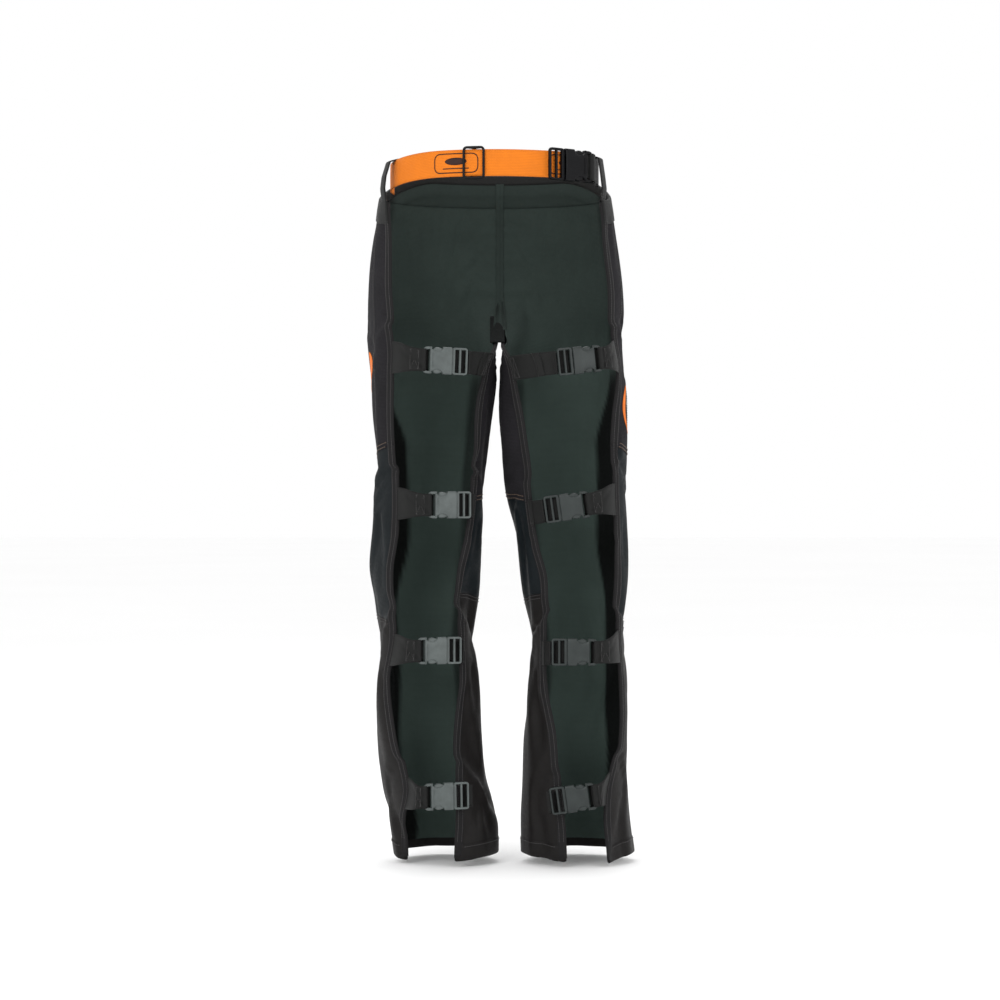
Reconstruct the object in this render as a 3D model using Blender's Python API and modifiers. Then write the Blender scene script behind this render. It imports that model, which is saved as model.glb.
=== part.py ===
"""Chainsaw chaps: two padded leg panels hung on an elastic belt, each closed behind by four buckled straps.

Metres, +Z up. +Y is the way the wearer faces, so the open backs and the buckles face -Y, and +X is the
wearer's right. Heights below are above the floor under the hems. The finished part is then moved so that
the middle of the belt ring is the origin, and empties stand on the hip and knee hinges.
Bodies: waist, left_thigh, left_shin, right_thigh, right_shin, and each buckle half or slider that slides.
"""
import math

import bmesh
import bpy
import numpy as np
from mathutils import Matrix, Vector

MM = 0.001

# ---- driving dimensions -------------------------------------------------------------------------
SHELL_THICK = 1.2 * MM
PAD_THICK = 5.0 * MM
LINING_THICK = 0.8 * MM
LAYER_GAP = 0.5 * MM

U_CELLS = 16            # cells round a leg panel
THIGH_ROWS = (0, 0.15, 0.30, 0.44, 0.56, 0.66, 0.74, 0.81, 0.88, 0.94, 1.0)   # closest at the crotch
SHIN_ROWS = (0, 0.13, 0.26, 0.39, 0.51, 0.63, 0.75, 0.88, 1.0)

HIP_Z, HIP_Y = 0.840, 0.022      # hinge line of the hip fold
HIP_BACK, HIP_FORWARD = 10, 30   # degrees
KNEE_Z, KNEE_Y = 0.430, 0.012    # hinge line of the knee fold
KNEE_BEND = 45
FOLD_GAP = 20 * MM               # panel left out above each hinge line
FOLD_CLEAR = 3 * MM

BELT_WIDTH, BELT_THICK = 38 * MM, 1.8 * MM
BELT_HALF_WIDE, BELT_HALF_DEEP = 0.1520, 0.1120     # outer face of the belt's oval
BELT_X, BELT_Z = -0.008, 1.000
BELT_DIP = 9 * MM                # how far the elastic falls towards its left end
BELT_LAP = 102                   # degrees round from the back where the belt ends under the yoke
BELT_BUCKLE_TURN = 44            # degrees round from the back to the middle of the buckle
SLIDER_TURN = -11
LOOP_TURN, LOOP_WIDE = 68, 22 * MM

WEB_WIDTH, WEB_THICK = 32 * MM, 1.6 * MM
TAB_WIDTH = 46 * MM              # the sewn outer tab is wider where it leaves the panel
SEWN = 34 * MM                   # how far a strap end lies on the panel
WEB_CLEAR = 1.9 * MM             # room between a sewn web and the panel

SOCKET_LONG, BUCKLE_WIDE, SOCKET_THICK = 42 * MM, 39 * MM, 11 * MM
LADDER_LONG, LADDER_THICK = 22.5 * MM, 4.6 * MM
BUCKLE_LONG = SOCKET_LONG + LADDER_LONG + 0.5 * MM
BELT_BUCKLE_SCALE = 1.18         # the belt's buckle is the 40 mm size of the same pattern

# Leg stations from hem to crotch, in mm and degrees: height, middle x, half width, and how far round
# from the front the panel reaches on its inner and outer side.
LEFT_LEG = [
    (0, -78, 70, 167, 120), (60, -83, 73, 163, 130), (112, -94, 71, 153, 149), (186, -103, 72, 144, 140),
    (258, -106, 72, 136, 130), (328, -110, 69, 131, 144), (420, -111, 80, 142, 145), (474, -106, 81, 134, 149),
    (546, -102, 80, 129, 146), (640, -102, 87, 130, 144), (700, -100, 92, 124, 144), (762, -97, 95, 116, 145)]
RIGHT_LEG = [
    (0, 115, 79, 165, 150), (60, 110, 75, 166, 147), (112, 109, 72, 162, 142), (186, 109, 70, 155, 118),
    (258, 114, 68, 134, 118), (328, 112, 68, 136, 121), (410, 109, 76, 146, 127), (474, 106, 80, 136, 130),
    (546, 98, 86, 139, 129), (640, 92, 91, 138, 125), (700, 90, 91, 130, 118), (762, 90, 90, 116, 117)]
# Depth of either leg: height, middle y, half depth.
LEG_DEPTH = [(0, -3, 75), (60, -6, 72), (112, -10, 70), (186, -12, 68), (258, -12, 67), (328, -8, 66),
             (420, 0, 70), (474, 0, 72), (546, 2, 76), (640, 4, 85), (700, 5, 91), (762, 5, 95)]
# Hips: height, half width of the left and the right, half depth, and how far round from the front each reaches.
HIPS = [(700, 190, 184, 104, 129, 117), (780, 191, 184, 106, 126, 116), (830, 190, 183, 110, 123, 115),
        (876, 186, 177, 115, 121, 115), (936, 175, 167, 118, 115, 115), (996, 169, 160, 117, 110, 118),
        (1040, 166, 157, 116, 108, 118)]
HIPS_X = -0.003
HIPS_SPREAD = 1.5                # packs the panel's columns towards the front fly
FLY_GAP = 1.2 * MM
CROTCH_X, CROTCH_Y = (0.710, 0.772), (0.716, 0.830)   # heights over which leg turns into hip
HEM_Z = 0.012
YOKE_TOP_Z, YOKE_DIP = 1.008, 0.056        # height of the yoke at the front, and its fall to the back edges

# Straps from crotch to hem: buckle x and z, rise towards the outer side in degrees, sewn heights of the
# outer and inner ends, and how far the buckle's middle plane stands off the panel's outer face.
STRAPS = {
    "left": [(-78, 721, 2, 727, 718, 3.5), (-72, 516, 0, 518, 515, 3.5), (-86, 308, 0, 308, 306, 5.5),
             (-76, 101, -1, 103, 100, 7.5)],
    "right": [(113, 722, 6, 730, 712, 3.5), (96, 513, 8, 524, 505, 3.5), (106, 306, 0, 312, 303, 5),
              (104, 98, 8, 109, 90, 9)],
}


def smooth(low, high, at):
    """0 below low, 1 above high, and an S curve between."""
    t = min(1.0, max(0.0, (at - low) / (high - low)))
    return t * t * (3 - 2 * t)


def between(table, z):
    """The other columns of a station table at height z, on a Catmull-Rom curve through its rows."""
    rows = np.array(table, float)
    heights = rows[:, 0] * MM
    z = min(max(z, heights[0]), heights[-1])
    i = min(int(np.searchsorted(heights, z, side="right")) - 1, len(rows) - 2)
    before, after = max(i - 1, 0), min(i + 2, len(rows) - 1)
    span = heights[i + 1] - heights[i]
    t = (z - heights[i]) / span
    start, end = rows[i, 1:], rows[i + 1, 1:]
    lean_start = (end - rows[before, 1:]) / (heights[i + 1] - heights[before]) * span
    lean_end = (rows[after, 1:] - start) / (heights[after] - heights[i]) * span
    return ((2 * t**3 - 3 * t**2 + 1) * start + (t**3 - 2 * t**2 + t) * lean_start
            + (3 * t**2 - 2 * t**3) * end + (t**3 - t**2) * lean_end)


def leg_section(side, z):
    """Middle x and y, half width, half depth, and the inner and outer reach in radians, at height z."""
    middle, half, inner, outer = between(LEFT_LEG if side < 0 else RIGHT_LEG, z)
    y, deep = between(LEG_DEPTH, z)
    return middle * MM, y * MM, half * MM, deep * MM, math.radians(inner), math.radians(outer)


def panel_face(side, u, z):
    """The panel's outer face: u runs from the inner edge (the fly, above the crotch) to the outer back edge."""
    x, y, wide, deep, inner, outer = leg_section(side, min(z, 0.762))
    turn = -inner + u * (inner + outer)
    leg = (x + side * wide * math.sin(turn), y + deep * math.cos(turn))
    left_wide, right_wide, hip_deep, left_reach, right_reach = between(HIPS, z)
    hip_wide = left_wide if side < 0 else right_wide
    turn = math.radians(left_reach if side < 0 else right_reach) * u**HIPS_SPREAD
    fly = side * FLY_GAP * (1 - u)
    hip = (HIPS_X * smooth(0, 0.3, u) + fly + side * hip_wide * MM * math.sin(turn),
           hip_deep * MM * math.cos(turn))
    share_x, share_y = smooth(*CROTCH_X, z), smooth(*CROTCH_Y, z)
    return Vector((leg[0] + (hip[0] - leg[0]) * share_x, leg[1] + (hip[1] - leg[1]) * share_y, z))


def panel_normal(side, u, z):
    """Unit vector out of the panel, from its slopes along u and z."""
    du, dz = 0.004, 0.004
    along = panel_face(side, u + du, z) - panel_face(side, u - du if u > du else u, z)
    up = panel_face(side, u, z + dz) - panel_face(side, u, z - dz)
    return (along.cross(up) * -side).normalized()


def panel_point(side, u, z, depth=0.0):
    """A point depth under the panel's outer face; a negative depth stands out of it."""
    return panel_face(side, u, z) - panel_normal(side, u, z) * depth


# ---- making objects -----------------------------------------------------------------------------
def material(name, colour, roughness, metallic=0.0):
    made = bpy.data.materials.new(name)
    made.use_nodes = True
    shader = made.node_tree.nodes["Principled BSDF"]
    shader.inputs["Base Color"].default_value = (*colour, 1)
    shader.inputs["Roughness"].default_value = roughness
    shader.inputs["Metallic"].default_value = metallic
    return made


def place(name, mesh, finish, collection):
    obj = bpy.data.objects.new(name, mesh)
    if not mesh.materials:
        mesh.materials.append(finish)
    collection.objects.link(obj)
    return obj


def sheet(name, rows, thick, finish, collection, towards=1, even=True):
    """A sheet through rows of points, given its thickness behind its face by Solidify."""
    across = len(rows[0])
    points = [tuple(p) for row in rows for p in row]
    faces = [(j * across + i, j * across + i + 1, (j + 1) * across + i + 1, (j + 1) * across + i)
             for j in range(len(rows) - 1) for i in range(across - 1)]
    if towards < 0:
        faces = [face[::-1] for face in faces]
    mesh = bpy.data.meshes.new(name)
    mesh.from_pydata(points, [], faces)
    obj = place(name, mesh, finish, collection)
    wall = obj.modifiers.new("thickness", "SOLIDIFY")
    wall.thickness = thick
    wall.offset = -1
    wall.use_even_offset = even
    mesh.shade_smooth()
    return obj


def block(size, centre, bevel=0.0, segments=2):
    """A mesh box with rounded edges."""
    bm = bmesh.new()
    bmesh.ops.create_cube(bm, size=1)
    bmesh.ops.scale(bm, vec=size, verts=bm.verts)
    if bevel:
        bmesh.ops.bevel(bm, geom=bm.edges[:], offset=bevel, segments=segments, affect="EDGES", profile=0.5)
    bmesh.ops.translate(bm, vec=centre, verts=bm.verts)
    mesh = bpy.data.meshes.new("block")
    bm.to_mesh(mesh)
    bm.free()
    return mesh


def carved(name, body, joins, cuts, cutters):
    """One mesh from a body, the meshes joined to it and the meshes cut from it."""
    obj = bpy.data.objects.new(name, body)
    cutters.objects.link(obj)
    for operation, meshes in (("UNION", joins), ("DIFFERENCE", cuts)):
        for number, mesh in enumerate(meshes):
            tool = bpy.data.objects.new(f"{name}_{operation.lower()}_{number}", mesh)
            tool.hide_render = True
            tool.display_type = "WIRE"
            cutters.objects.link(tool)
            step = obj.modifiers.new(tool.name, "BOOLEAN")
            step.operation = operation
            step.object = tool
    bpy.context.view_layer.update()
    made = bpy.data.meshes.new_from_object(obj.evaluated_get(bpy.context.evaluated_depsgraph_get()))
    made.name = name
    obj.hide_render = True
    obj.display_type = "WIRE"
    return made


# ---- panels -------------------------------------------------------------------------------------
def panel_layers(prefix, side, bottom, top, levels, finishes, collection):
    """Shell, cut-resistant pad and lining of one stretch of leg, each following the same columns and rows."""
    shell, pad, lining = finishes
    layers = [("shell", 0.0, SHELL_THICK, shell, 0),
              ("pad", SHELL_THICK + LAYER_GAP, PAD_THICK, pad, 1),
              ("lining", SHELL_THICK + PAD_THICK + 2 * LAYER_GAP, LINING_THICK, lining, 0)]
    for label, depth, thick, finish, inset in layers:
        rows = []
        for level in levels[inset:len(levels) - inset]:
            row = []
            for i in range(inset, U_CELLS + 1 - inset):
                u = i / U_CELLS
                z = bottom(u) + (top(u) - bottom(u)) * level
                row.append(panel_point(side, u, z, depth))
            rows.append(row)
        sheet(f"{prefix}_{label}", rows, thick, finish, collection, towards=-side, even=False)


def make_leg(name, side, finishes, collection):
    """Thigh and shin panels, with a wedge left open in front of the hip hinge and behind the knee hinge."""
    forward, back = math.radians(HIP_FORWARD), math.radians(HIP_BACK)
    def thigh_top(u):
        ahead = panel_face(side, u, HIP_Z).y - HIP_Y
        turn, reach = (forward, ahead) if ahead > 0 else (back, -ahead)
        return HIP_Z + (FOLD_GAP - FOLD_CLEAR - reach * math.sin(turn)) / math.cos(turn)

    def shin_top(u):
        behind = max(0.0, KNEE_Y - panel_face(side, u, KNEE_Z).y)
        bend = math.radians(KNEE_BEND)
        return KNEE_Z + min(FOLD_GAP - FOLD_CLEAR,
                            (FOLD_GAP - FOLD_CLEAR - behind * math.sin(bend)) / math.cos(bend))

    panel_layers(f"{name}_thigh", side, lambda u: KNEE_Z + FOLD_GAP, thigh_top, THIGH_ROWS, finishes, collection)
    panel_layers(f"{name}_shin", side, lambda u: HEM_Z, shin_top, SHIN_ROWS, finishes, collection)


def yoke_point(side, u, z, depth):
    """A point under the yoke's outer face; side 0 is the centre front."""
    if side:
        return panel_point(side, u, z, depth)
    return Vector((HIPS_X, panel_face(1, 0, z).y - depth, z))


def yoke_top(u):
    return YOKE_TOP_Z - YOKE_DIP * smooth(0.45, 1.0, u)


def make_waist(finishes, webbing, collection):
    """The hip yoke, one band from the left hip round the front to the right hip, and its waistband."""
    columns = [(-1, i / 12) for i in range(12, 0, -1)] + [(0, 0)] + [(1, i / 12) for i in range(1, 13)]
    bottom, rows_up = HIP_Z + FOLD_GAP, 4
    names = ("waist_shell", "waist_pad", "waist_lining")
    thicks = (SHELL_THICK, PAD_THICK, LINING_THICK)
    depth = 0.0
    for name, thick, finish, inset in zip(names, thicks, finishes, (0, 1, 0)):
        kept = columns[inset:len(columns) - inset]
        rows = [[yoke_point(side, u, bottom + (yoke_top(u) - bottom) * j / rows_up, depth) for side, u in kept]
                for j in range(inset, rows_up + 1 - inset)]
        sheet(name, rows, thick, finish, collection, towards=-1)
        depth += thick + LAYER_GAP
    rows = [[yoke_point(side, u, yoke_top(u) + up, -WEB_THICK - LAYER_GAP) for side, u in columns]
            for up in (-30 * MM, 6 * MM)]
    sheet("waistband", rows, WEB_THICK, webbing, collection, towards=-1)


# ---- belt ---------------------------------------------------------------------------------------
def belt_point(degrees, out=0.0, up=0.0):
    """A point on the belt's oval: degrees run from the back towards the wearer's right."""
    turn = math.radians(degrees)
    return Vector((BELT_X + (BELT_HALF_WIDE + out) * math.sin(turn), -(BELT_HALF_DEEP + out) * math.cos(turn),
                   BELT_Z + up))


def belt_dip(degrees):
    """Height of the elastic's middle above the buckle's: it falls towards the left end."""
    return -BELT_DIP * smooth(-30, -BELT_LAP, degrees)


def belt_along(degrees):
    turn = math.radians(degrees)
    return Vector((BELT_HALF_WIDE * math.cos(turn), BELT_HALF_DEEP * math.sin(turn), 0)).normalized()


def upright(at, along):
    """Matrix of a belt fitting: +X along the belt, +Y into the body, +Z up."""
    into = Vector((0, 0, 1)).cross(along)
    return Matrix.Translation(at) @ Matrix((along, into, Vector((0, 0, 1)))).transposed().to_4x4()


def belt_strip(name, path, thick, wide, finish, collection):
    """A level strip of belt through points of its outer face, listed towards the wearer's right."""
    rows = [[point + Vector((0, 0, up)) for point in path] for up in (-wide / 2, wide / 2)]
    return sheet(name, rows, thick, finish, collection)


def make_belt(meshes, finishes, collection):
    """Elastic belt from its sewn left end to the prong half, the socket half on its short web, slider and loops."""
    elastic, webbing, plastic = finishes
    socket, prong, slider = meshes
    along = belt_along(BELT_BUCKLE_TURN)
    middle = belt_point(BELT_BUCKLE_TURN, 4 * MM)
    scale = BELT_BUCKLE_SCALE
    socket_at = middle + along * (BUCKLE_LONG - SOCKET_LONG) / 2 * scale
    prong_at = middle - along * (BUCKLE_LONG / 2 - LADDER_LONG) * scale
    half_turn = Matrix.Rotation(math.pi, 4, "Z")
    place("belt_socket", socket, plastic, collection).matrix_world = upright(socket_at, along) @ half_turn
    place("belt_prong", prong, plastic, collection).matrix_world = upright(prong_at, along) @ half_turn
    into = Vector((0, 0, 1)).cross(along)
    bar = middle - along * (BUCKLE_LONG / 2 - 16 * MM) * scale + into * (LADDER_THICK / 2 * scale + 0.6 * MM)
    last = 14.0
    lead = belt_point(last)
    bend = curve(lead, belt_along(last) * 0.014, bar, along * 0.014, 4)
    turns = [-BELT_LAP + (last + BELT_LAP) * i / 22 for i in range(22)]
    path = [belt_point(turn, 0, belt_dip(turn)) for turn in turns] + bend
    belt_strip("belt_web", path, BELT_THICK, BELT_WIDTH, elastic, collection)
    first = 74.0
    start = middle + along * (BUCKLE_LONG / 2 * scale + 1 * MM)
    bend = curve(start, along * 0.008, belt_point(first), belt_along(first) * 0.008, 3)
    path = bend + [belt_point(first + (BELT_LAP - first) * i / 4) for i in range(1, 5)]
    belt_strip("belt_short_web", path, BELT_THICK, BELT_WIDTH, webbing, collection)
    at = upright(belt_point(SLIDER_TURN, -BELT_THICK / 2), belt_along(SLIDER_TURN))
    place("belt_slider", slider, plastic, collection).matrix_world = at
    for name, sign in (("belt_loop_left", -1), ("belt_loop_right", 1)):
        belt_loop(name, sign, webbing, collection)


def belt_loop(name, sign, finish, collection):
    """A web loop sewn to the yoke's back corner: it leans up to the belt outside, crosses its top, drops inside."""
    sewn, inside, top = 22 * MM, -6 * MM, BELT_WIDTH / 2 + 4.5 * MM
    profile = [(sewn + 3 * MM, -70 * MM), (sewn, -46 * MM), (sewn - 4 * MM, -20 * MM), (12 * MM, top - 5 * MM),
               (9 * MM, top), (inside + 2 * MM, top), (inside, top - 2.5 * MM), (inside, -40 * MM)]
    spread = math.degrees(LOOP_WIDE / BELT_HALF_DEEP) / 2
    rows = []
    for turn in (LOOP_TURN - spread, LOOP_TURN + spread):
        rows.append([belt_point(sign * turn, out, up) for out, up in profile])
    sheet(name, rows, WEB_THICK, finish, collection, towards=sign)


# ---- buckles ------------------------------------------------------------------------------------
def socket_mesh(scale, cutters):
    """The socket half about its own middle: its mouth at +X, its web bar at -X, face along -Y."""
    mm = MM * scale
    long, wide, thick, web = SOCKET_LONG * scale, BUCKLE_WIDE * scale, SOCKET_THICK * scale, WEB_WIDTH * scale
    body = block((long, thick, wide), (0, 0, 0), 2.2 * mm, 1)
    mouth = block((long - 13 * mm, 6.4 * mm, wide - 6 * mm), (8 * mm, 0, 0))
    web_slot = block((5.6 * mm, thick * 2, web + mm), (-long / 2 + 7 * mm, 0, 0))
    windows = [block((12 * mm, 7.4 * mm, 8 * mm), (3 * mm, 0, end * wide / 2)) for end in (-1, 1)]
    return carved("socket", body, [], [mouth, web_slot, *windows], cutters)


def prong_mesh(scale, cutters):
    """The prong half: a two-slot ladder outside the socket at +X, a tongue and two prongs inside it at -X."""
    mm = MM * scale
    long, wide, thick, web = LADDER_LONG * scale, BUCKLE_WIDE * scale, LADDER_THICK * scale, WEB_WIDTH * scale
    ladder = block((long, thick, wide), (long / 2, 0, 0), 1.2 * mm, 1)
    inside, reach = 25 * mm, wide / 2 - 4.8 * mm
    arms = [block((inside + 4 * mm, 4.6 * mm, 3.2 * mm), (-inside / 2 + 2 * mm, 0, end * reach)) for end in (-1, 1)]
    tips = [block((8 * mm, 5.2 * mm, 6 * mm), (-inside + 4 * mm, 0, end * (reach - 1.6 * mm))) for end in (-1, 1)]
    tongue = block((inside - 4 * mm, 3.4 * mm, 5 * mm), (-inside / 2 + 6 * mm, 0, 0))
    slots = [block((5.0 * mm, thick * 2, web + mm), (at, 0, 0)) for at in (7.2 * mm, 15.6 * mm)]
    return carved("prong", ladder, [*arms, *tips, tongue], slots, cutters)


def slider_mesh(cutters):
    """The three-bar slider about its own middle: bars upright, belt threaded along X."""
    high, wide, thick = BELT_WIDTH + 9 * MM, 32 * MM, 9.0 * MM
    frame = block((wide, thick, high), (0, 0, 0), 2.0 * MM, 1)
    slots = [block((9.5 * MM, thick * 2, BELT_WIDTH + 1.2 * MM), (at, 0, 0)) for at in (-7.2 * MM, 7.2 * MM)]
    tunnel = block((wide * 2, BELT_THICK + 2.6 * MM, BELT_WIDTH + 1.2 * MM), (0, 0, 0))
    return carved("slider", frame, [], [*slots, tunnel], cutters)


def buckle_frame(side, x, z, rise, stand_off):
    """Matrix of a leg buckle: +X from socket to ladder, +Z up, set on the tangent of the leg at x."""
    middle, y, wide, deep, _, _ = leg_section(side, z)
    across = (x - middle) / (wide + stand_off)
    depth = math.sqrt(1 - across**2)
    place_y = y - (deep + stand_off) * depth
    out = Vector((across / (wide + stand_off), -depth / (deep + stand_off), 0)).normalized()
    lean = math.radians(rise)
    level = Vector((-out.y, out.x, 0)) * -side
    along = level * math.cos(lean) - Vector((0, 0, 1)) * math.sin(lean)
    up = along.cross(-out)
    if up.z < 0:
        up = -up
    thick = up.cross(along)
    turn = Matrix((along, thick, up)).transposed().to_4x4()
    return Matrix.Translation((x, place_y, z)) @ turn, along, out


def curve(start, leave, end, arrive, count):
    """Points on a cubic from start, leaving along leave, to end, arriving along arrive."""
    made = []
    for i in range(count + 1):
        t = i / count
        made.append(start * (1 - t)**3 + (start + leave) * 3 * t * (1 - t)**2
                    + (end - arrive) * 3 * t**2 * (1 - t) + end * t**3)
    return made


def strap_web(name, side, outer, root_z, stop, along, up, root_wide, finish, collection):
    """A strap end: sewn on the panel, off its back edge, and on to the bar whose middle is stop."""
    _, _, wide, deep, inner, reach = leg_section(side, root_z)
    far = SEWN / ((inner + reach) * (wide + deep) / 2)
    share = [1.0, 0.75, 0.5, 0.25, 0.0]
    lies = [1 - far * s if outer else far * s for s in share]
    rows = []
    for edge in (-0.5, 0.0, 0.5):
        sewn = [panel_point(side, u, root_z + edge * root_wide, -WEB_THICK - WEB_CLEAR) for u in lies]
        before, last = sewn[-2:]
        end = stop + up * edge * WEB_WIDTH
        pull = (end - last).length * 0.35
        leave = (last - before).normalized() * pull
        arrive = along * pull * (1 if outer else -1)
        rows.append(sewn[:-1] + curve(last, leave, end, arrive, 5))
    middle, y = leg_section(side, root_z)[:2]
    across, rise = rows[1][-1] - rows[1][0], rows[-1][0] - rows[0][0]
    facing = across.cross(rise).dot(rows[1][0] - Vector((middle, y, rows[1][0].z)))
    return sheet(name, rows, WEB_THICK, finish, collection, towards=1 if facing > 0 else -1)


def make_straps(name, side, meshes, finishes, collection):
    webbing, plastic = finishes
    socket, prong = meshes
    for number, (x, z, rise, outer_z, inner_z, stand_off) in enumerate(STRAPS[name], 1):
        frame, along, out = buckle_frame(side, x * MM, z * MM, rise, stand_off * MM)
        middle, up = frame.translation, (frame.to_3x3() @ Vector((0, 0, 1))).normalized()
        label = f"{name}_strap_{number}"
        socket_at = Matrix.Translation(along * (SOCKET_LONG - BUCKLE_LONG) / 2) @ frame
        prong_at = Matrix.Translation(along * (BUCKLE_LONG / 2 - LADDER_LONG)) @ frame
        place(f"{label}_socket", socket, plastic, collection).matrix_world = socket_at
        place(f"{label}_prong", prong, plastic, collection).matrix_world = prong_at
        stop = middle - along * (BUCKLE_LONG / 2 + 0.8 * MM)
        strap_web(f"{label}_outer_web", side, True, outer_z * MM, stop, along, up, TAB_WIDTH, webbing, collection)
        stop = middle + along * (BUCKLE_LONG / 2 - 16 * MM) - out * (LADDER_THICK / 2 + 0.8 * MM)
        strap_web(f"{label}_inner_web", side, False, inner_z * MM, stop, along, up, WEB_WIDTH + 2 * MM, webbing,
                  collection)


def pivot(name, at, parent, collection):
    """An empty on a hinge line."""
    empty = bpy.data.objects.new(name, None)
    empty.empty_display_size = 0.03
    empty.matrix_world = Matrix.Translation(at)
    collection.objects.link(empty)
    if parent:
        hang(empty, parent)
    return empty


def hang(obj, parent):
    """Parent an object and leave it where it is."""
    bpy.context.view_layer.update()
    obj.parent = parent
    obj.matrix_parent_inverse = parent.matrix_world.inverted()


def make_tree(chaps):
    """Hang every piece on its hinge, and move the middle of the belt ring to the origin."""
    pieces = list(chaps.objects)
    waist = pivot("waist_pivot", (BELT_X, 0, BELT_Z), None, chaps)
    limbs = {}
    for side in ("left", "right"):
        thigh = pivot(f"{side}_hip_pivot", (BELT_X, HIP_Y, HIP_Z), waist, chaps)
        limbs[side] = thigh, pivot(f"{side}_knee_pivot", (BELT_X, KNEE_Y, KNEE_Z), thigh, chaps)
    for piece in pieces:
        side, _, rest = piece.name.partition("_")
        low = rest.startswith(("shin", "strap_3", "strap_4"))
        hang(piece, limbs[side][low] if side in limbs else waist)
    waist.location = (0, 0, 0)


def main():
    for obj in list(bpy.data.objects):
        bpy.data.objects.remove(obj)
    chaps = bpy.data.collections.new("chainsaw_chaps")
    cutters = bpy.data.collections.new("cutters")
    for collection in (chaps, cutters):
        bpy.context.scene.collection.children.link(collection)
    cloth = material("charcoal_cloth", (0.028, 0.027, 0.028), 0.85)
    pad = material("cut_resistant_pad", (0.75, 0.72, 0.62), 0.9)
    lining = material("lining", (0.022, 0.030, 0.027), 0.8)
    webbing = material("black_webbing", (0.012, 0.012, 0.012), 0.8)
    plastic = material("grey_acetal", (0.05, 0.055, 0.055), 0.45)
    orange = material("orange_elastic", (0.9, 0.24, 0.03), 0.75)
    make_waist((cloth, pad, lining), webbing, chaps)
    meshes = socket_mesh(1, cutters), prong_mesh(1, cutters)
    for name, side in (("left", -1), ("right", 1)):
        make_leg(name, side, (cloth, pad, lining), chaps)
        make_straps(name, side, meshes, (webbing, plastic), chaps)
    large = socket_mesh(BELT_BUCKLE_SCALE, cutters), prong_mesh(BELT_BUCKLE_SCALE, cutters), slider_mesh(cutters)
    make_belt(large, (orange, webbing, plastic), chaps)
    make_tree(chaps)


main()
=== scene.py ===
"""The looks of a pair of chainsaw chaps: draped cloth, lining, padding, tapes, stitching, webbing and buckles.

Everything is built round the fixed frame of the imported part, in metres: +Z up, +Y the way the wearer faces,
+X the wearer's right. Heights in the tables are above the floor under the hems; SHIFT takes a point from
there to the frame, whose origin is the middle of the belt ring.
"""
import math

import bpy
import numpy as np
from bpy.props import BoolProperty, FloatProperty, FloatVectorProperty, PointerProperty
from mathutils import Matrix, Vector


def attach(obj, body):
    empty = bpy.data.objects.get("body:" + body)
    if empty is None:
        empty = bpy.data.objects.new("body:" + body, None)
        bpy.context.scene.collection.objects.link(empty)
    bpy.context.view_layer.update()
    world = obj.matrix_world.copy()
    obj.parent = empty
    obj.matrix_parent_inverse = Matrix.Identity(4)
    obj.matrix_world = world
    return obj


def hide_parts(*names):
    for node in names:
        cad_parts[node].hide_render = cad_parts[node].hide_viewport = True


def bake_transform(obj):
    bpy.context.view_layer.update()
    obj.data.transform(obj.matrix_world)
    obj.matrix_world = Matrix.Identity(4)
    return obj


bl_info = {
    "name": "Chainsaw Chaps",
    "version": (1, 0, 0),
    "blender": (4, 5, 0),
    "location": "3D View > Sidebar > Chaps",
    "description": "Builds the cloth, webbing, buckles and belt of a pair of chainsaw chaps round its frame",
    "category": "Add Mesh",
}

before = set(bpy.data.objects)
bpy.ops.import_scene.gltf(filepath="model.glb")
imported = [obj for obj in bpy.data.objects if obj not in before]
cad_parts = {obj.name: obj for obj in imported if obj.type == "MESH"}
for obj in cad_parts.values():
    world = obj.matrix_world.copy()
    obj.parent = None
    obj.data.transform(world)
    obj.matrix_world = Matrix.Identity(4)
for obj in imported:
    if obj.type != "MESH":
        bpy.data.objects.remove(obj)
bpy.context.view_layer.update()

# ---- sizes shared with the part's frame ---------------------------------------------------------
MM = 0.001
SHELL_THICK, PAD_THICK, LINING_THICK = 1.2 * MM, 5.0 * MM, 0.8 * MM
BELT_WIDTH, BELT_THICK = 38 * MM, 1.8 * MM
BELT_HALF_WIDE, BELT_HALF_DEEP = 0.1520, 0.1120
BELT_X, BELT_Z = -0.008, 1.000
BELT_DIP = 9 * MM
BELT_LAP = 102
BELT_BUCKLE_TURN = 44
SLIDER_TURN = -11
LOOP_TURN, LOOP_WIDE = 68, 22 * MM
WEB_WIDTH, WEB_THICK = 32 * MM, 1.6 * MM
TAB_WIDTH = 46 * MM              # width of a strap's outer end, where it is sewn on
SOCKET_LONG, BUCKLE_WIDE, SOCKET_THICK = 42 * MM, 39 * MM, 11 * MM
LADDER_LONG, LADDER_THICK = 22.5 * MM, 4.6 * MM
BUCKLE_LONG = SOCKET_LONG + LADDER_LONG + 0.5 * MM
BELT_BUCKLE_SCALE = 1.18
HIP_Z, KNEE_Z = 0.840, 0.430
HEM_Z = 0.012
YOKE_TOP_Z, YOKE_DIP = 1.008, 0.056
HIPS_X, HIPS_SPREAD, FLY_GAP = -0.003, 1.5, 1.2 * MM
CROTCH_X, CROTCH_Y = (0.710, 0.772), (0.716, 0.830)
SHIFT = np.array((-BELT_X, 0.0, -BELT_Z))

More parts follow.
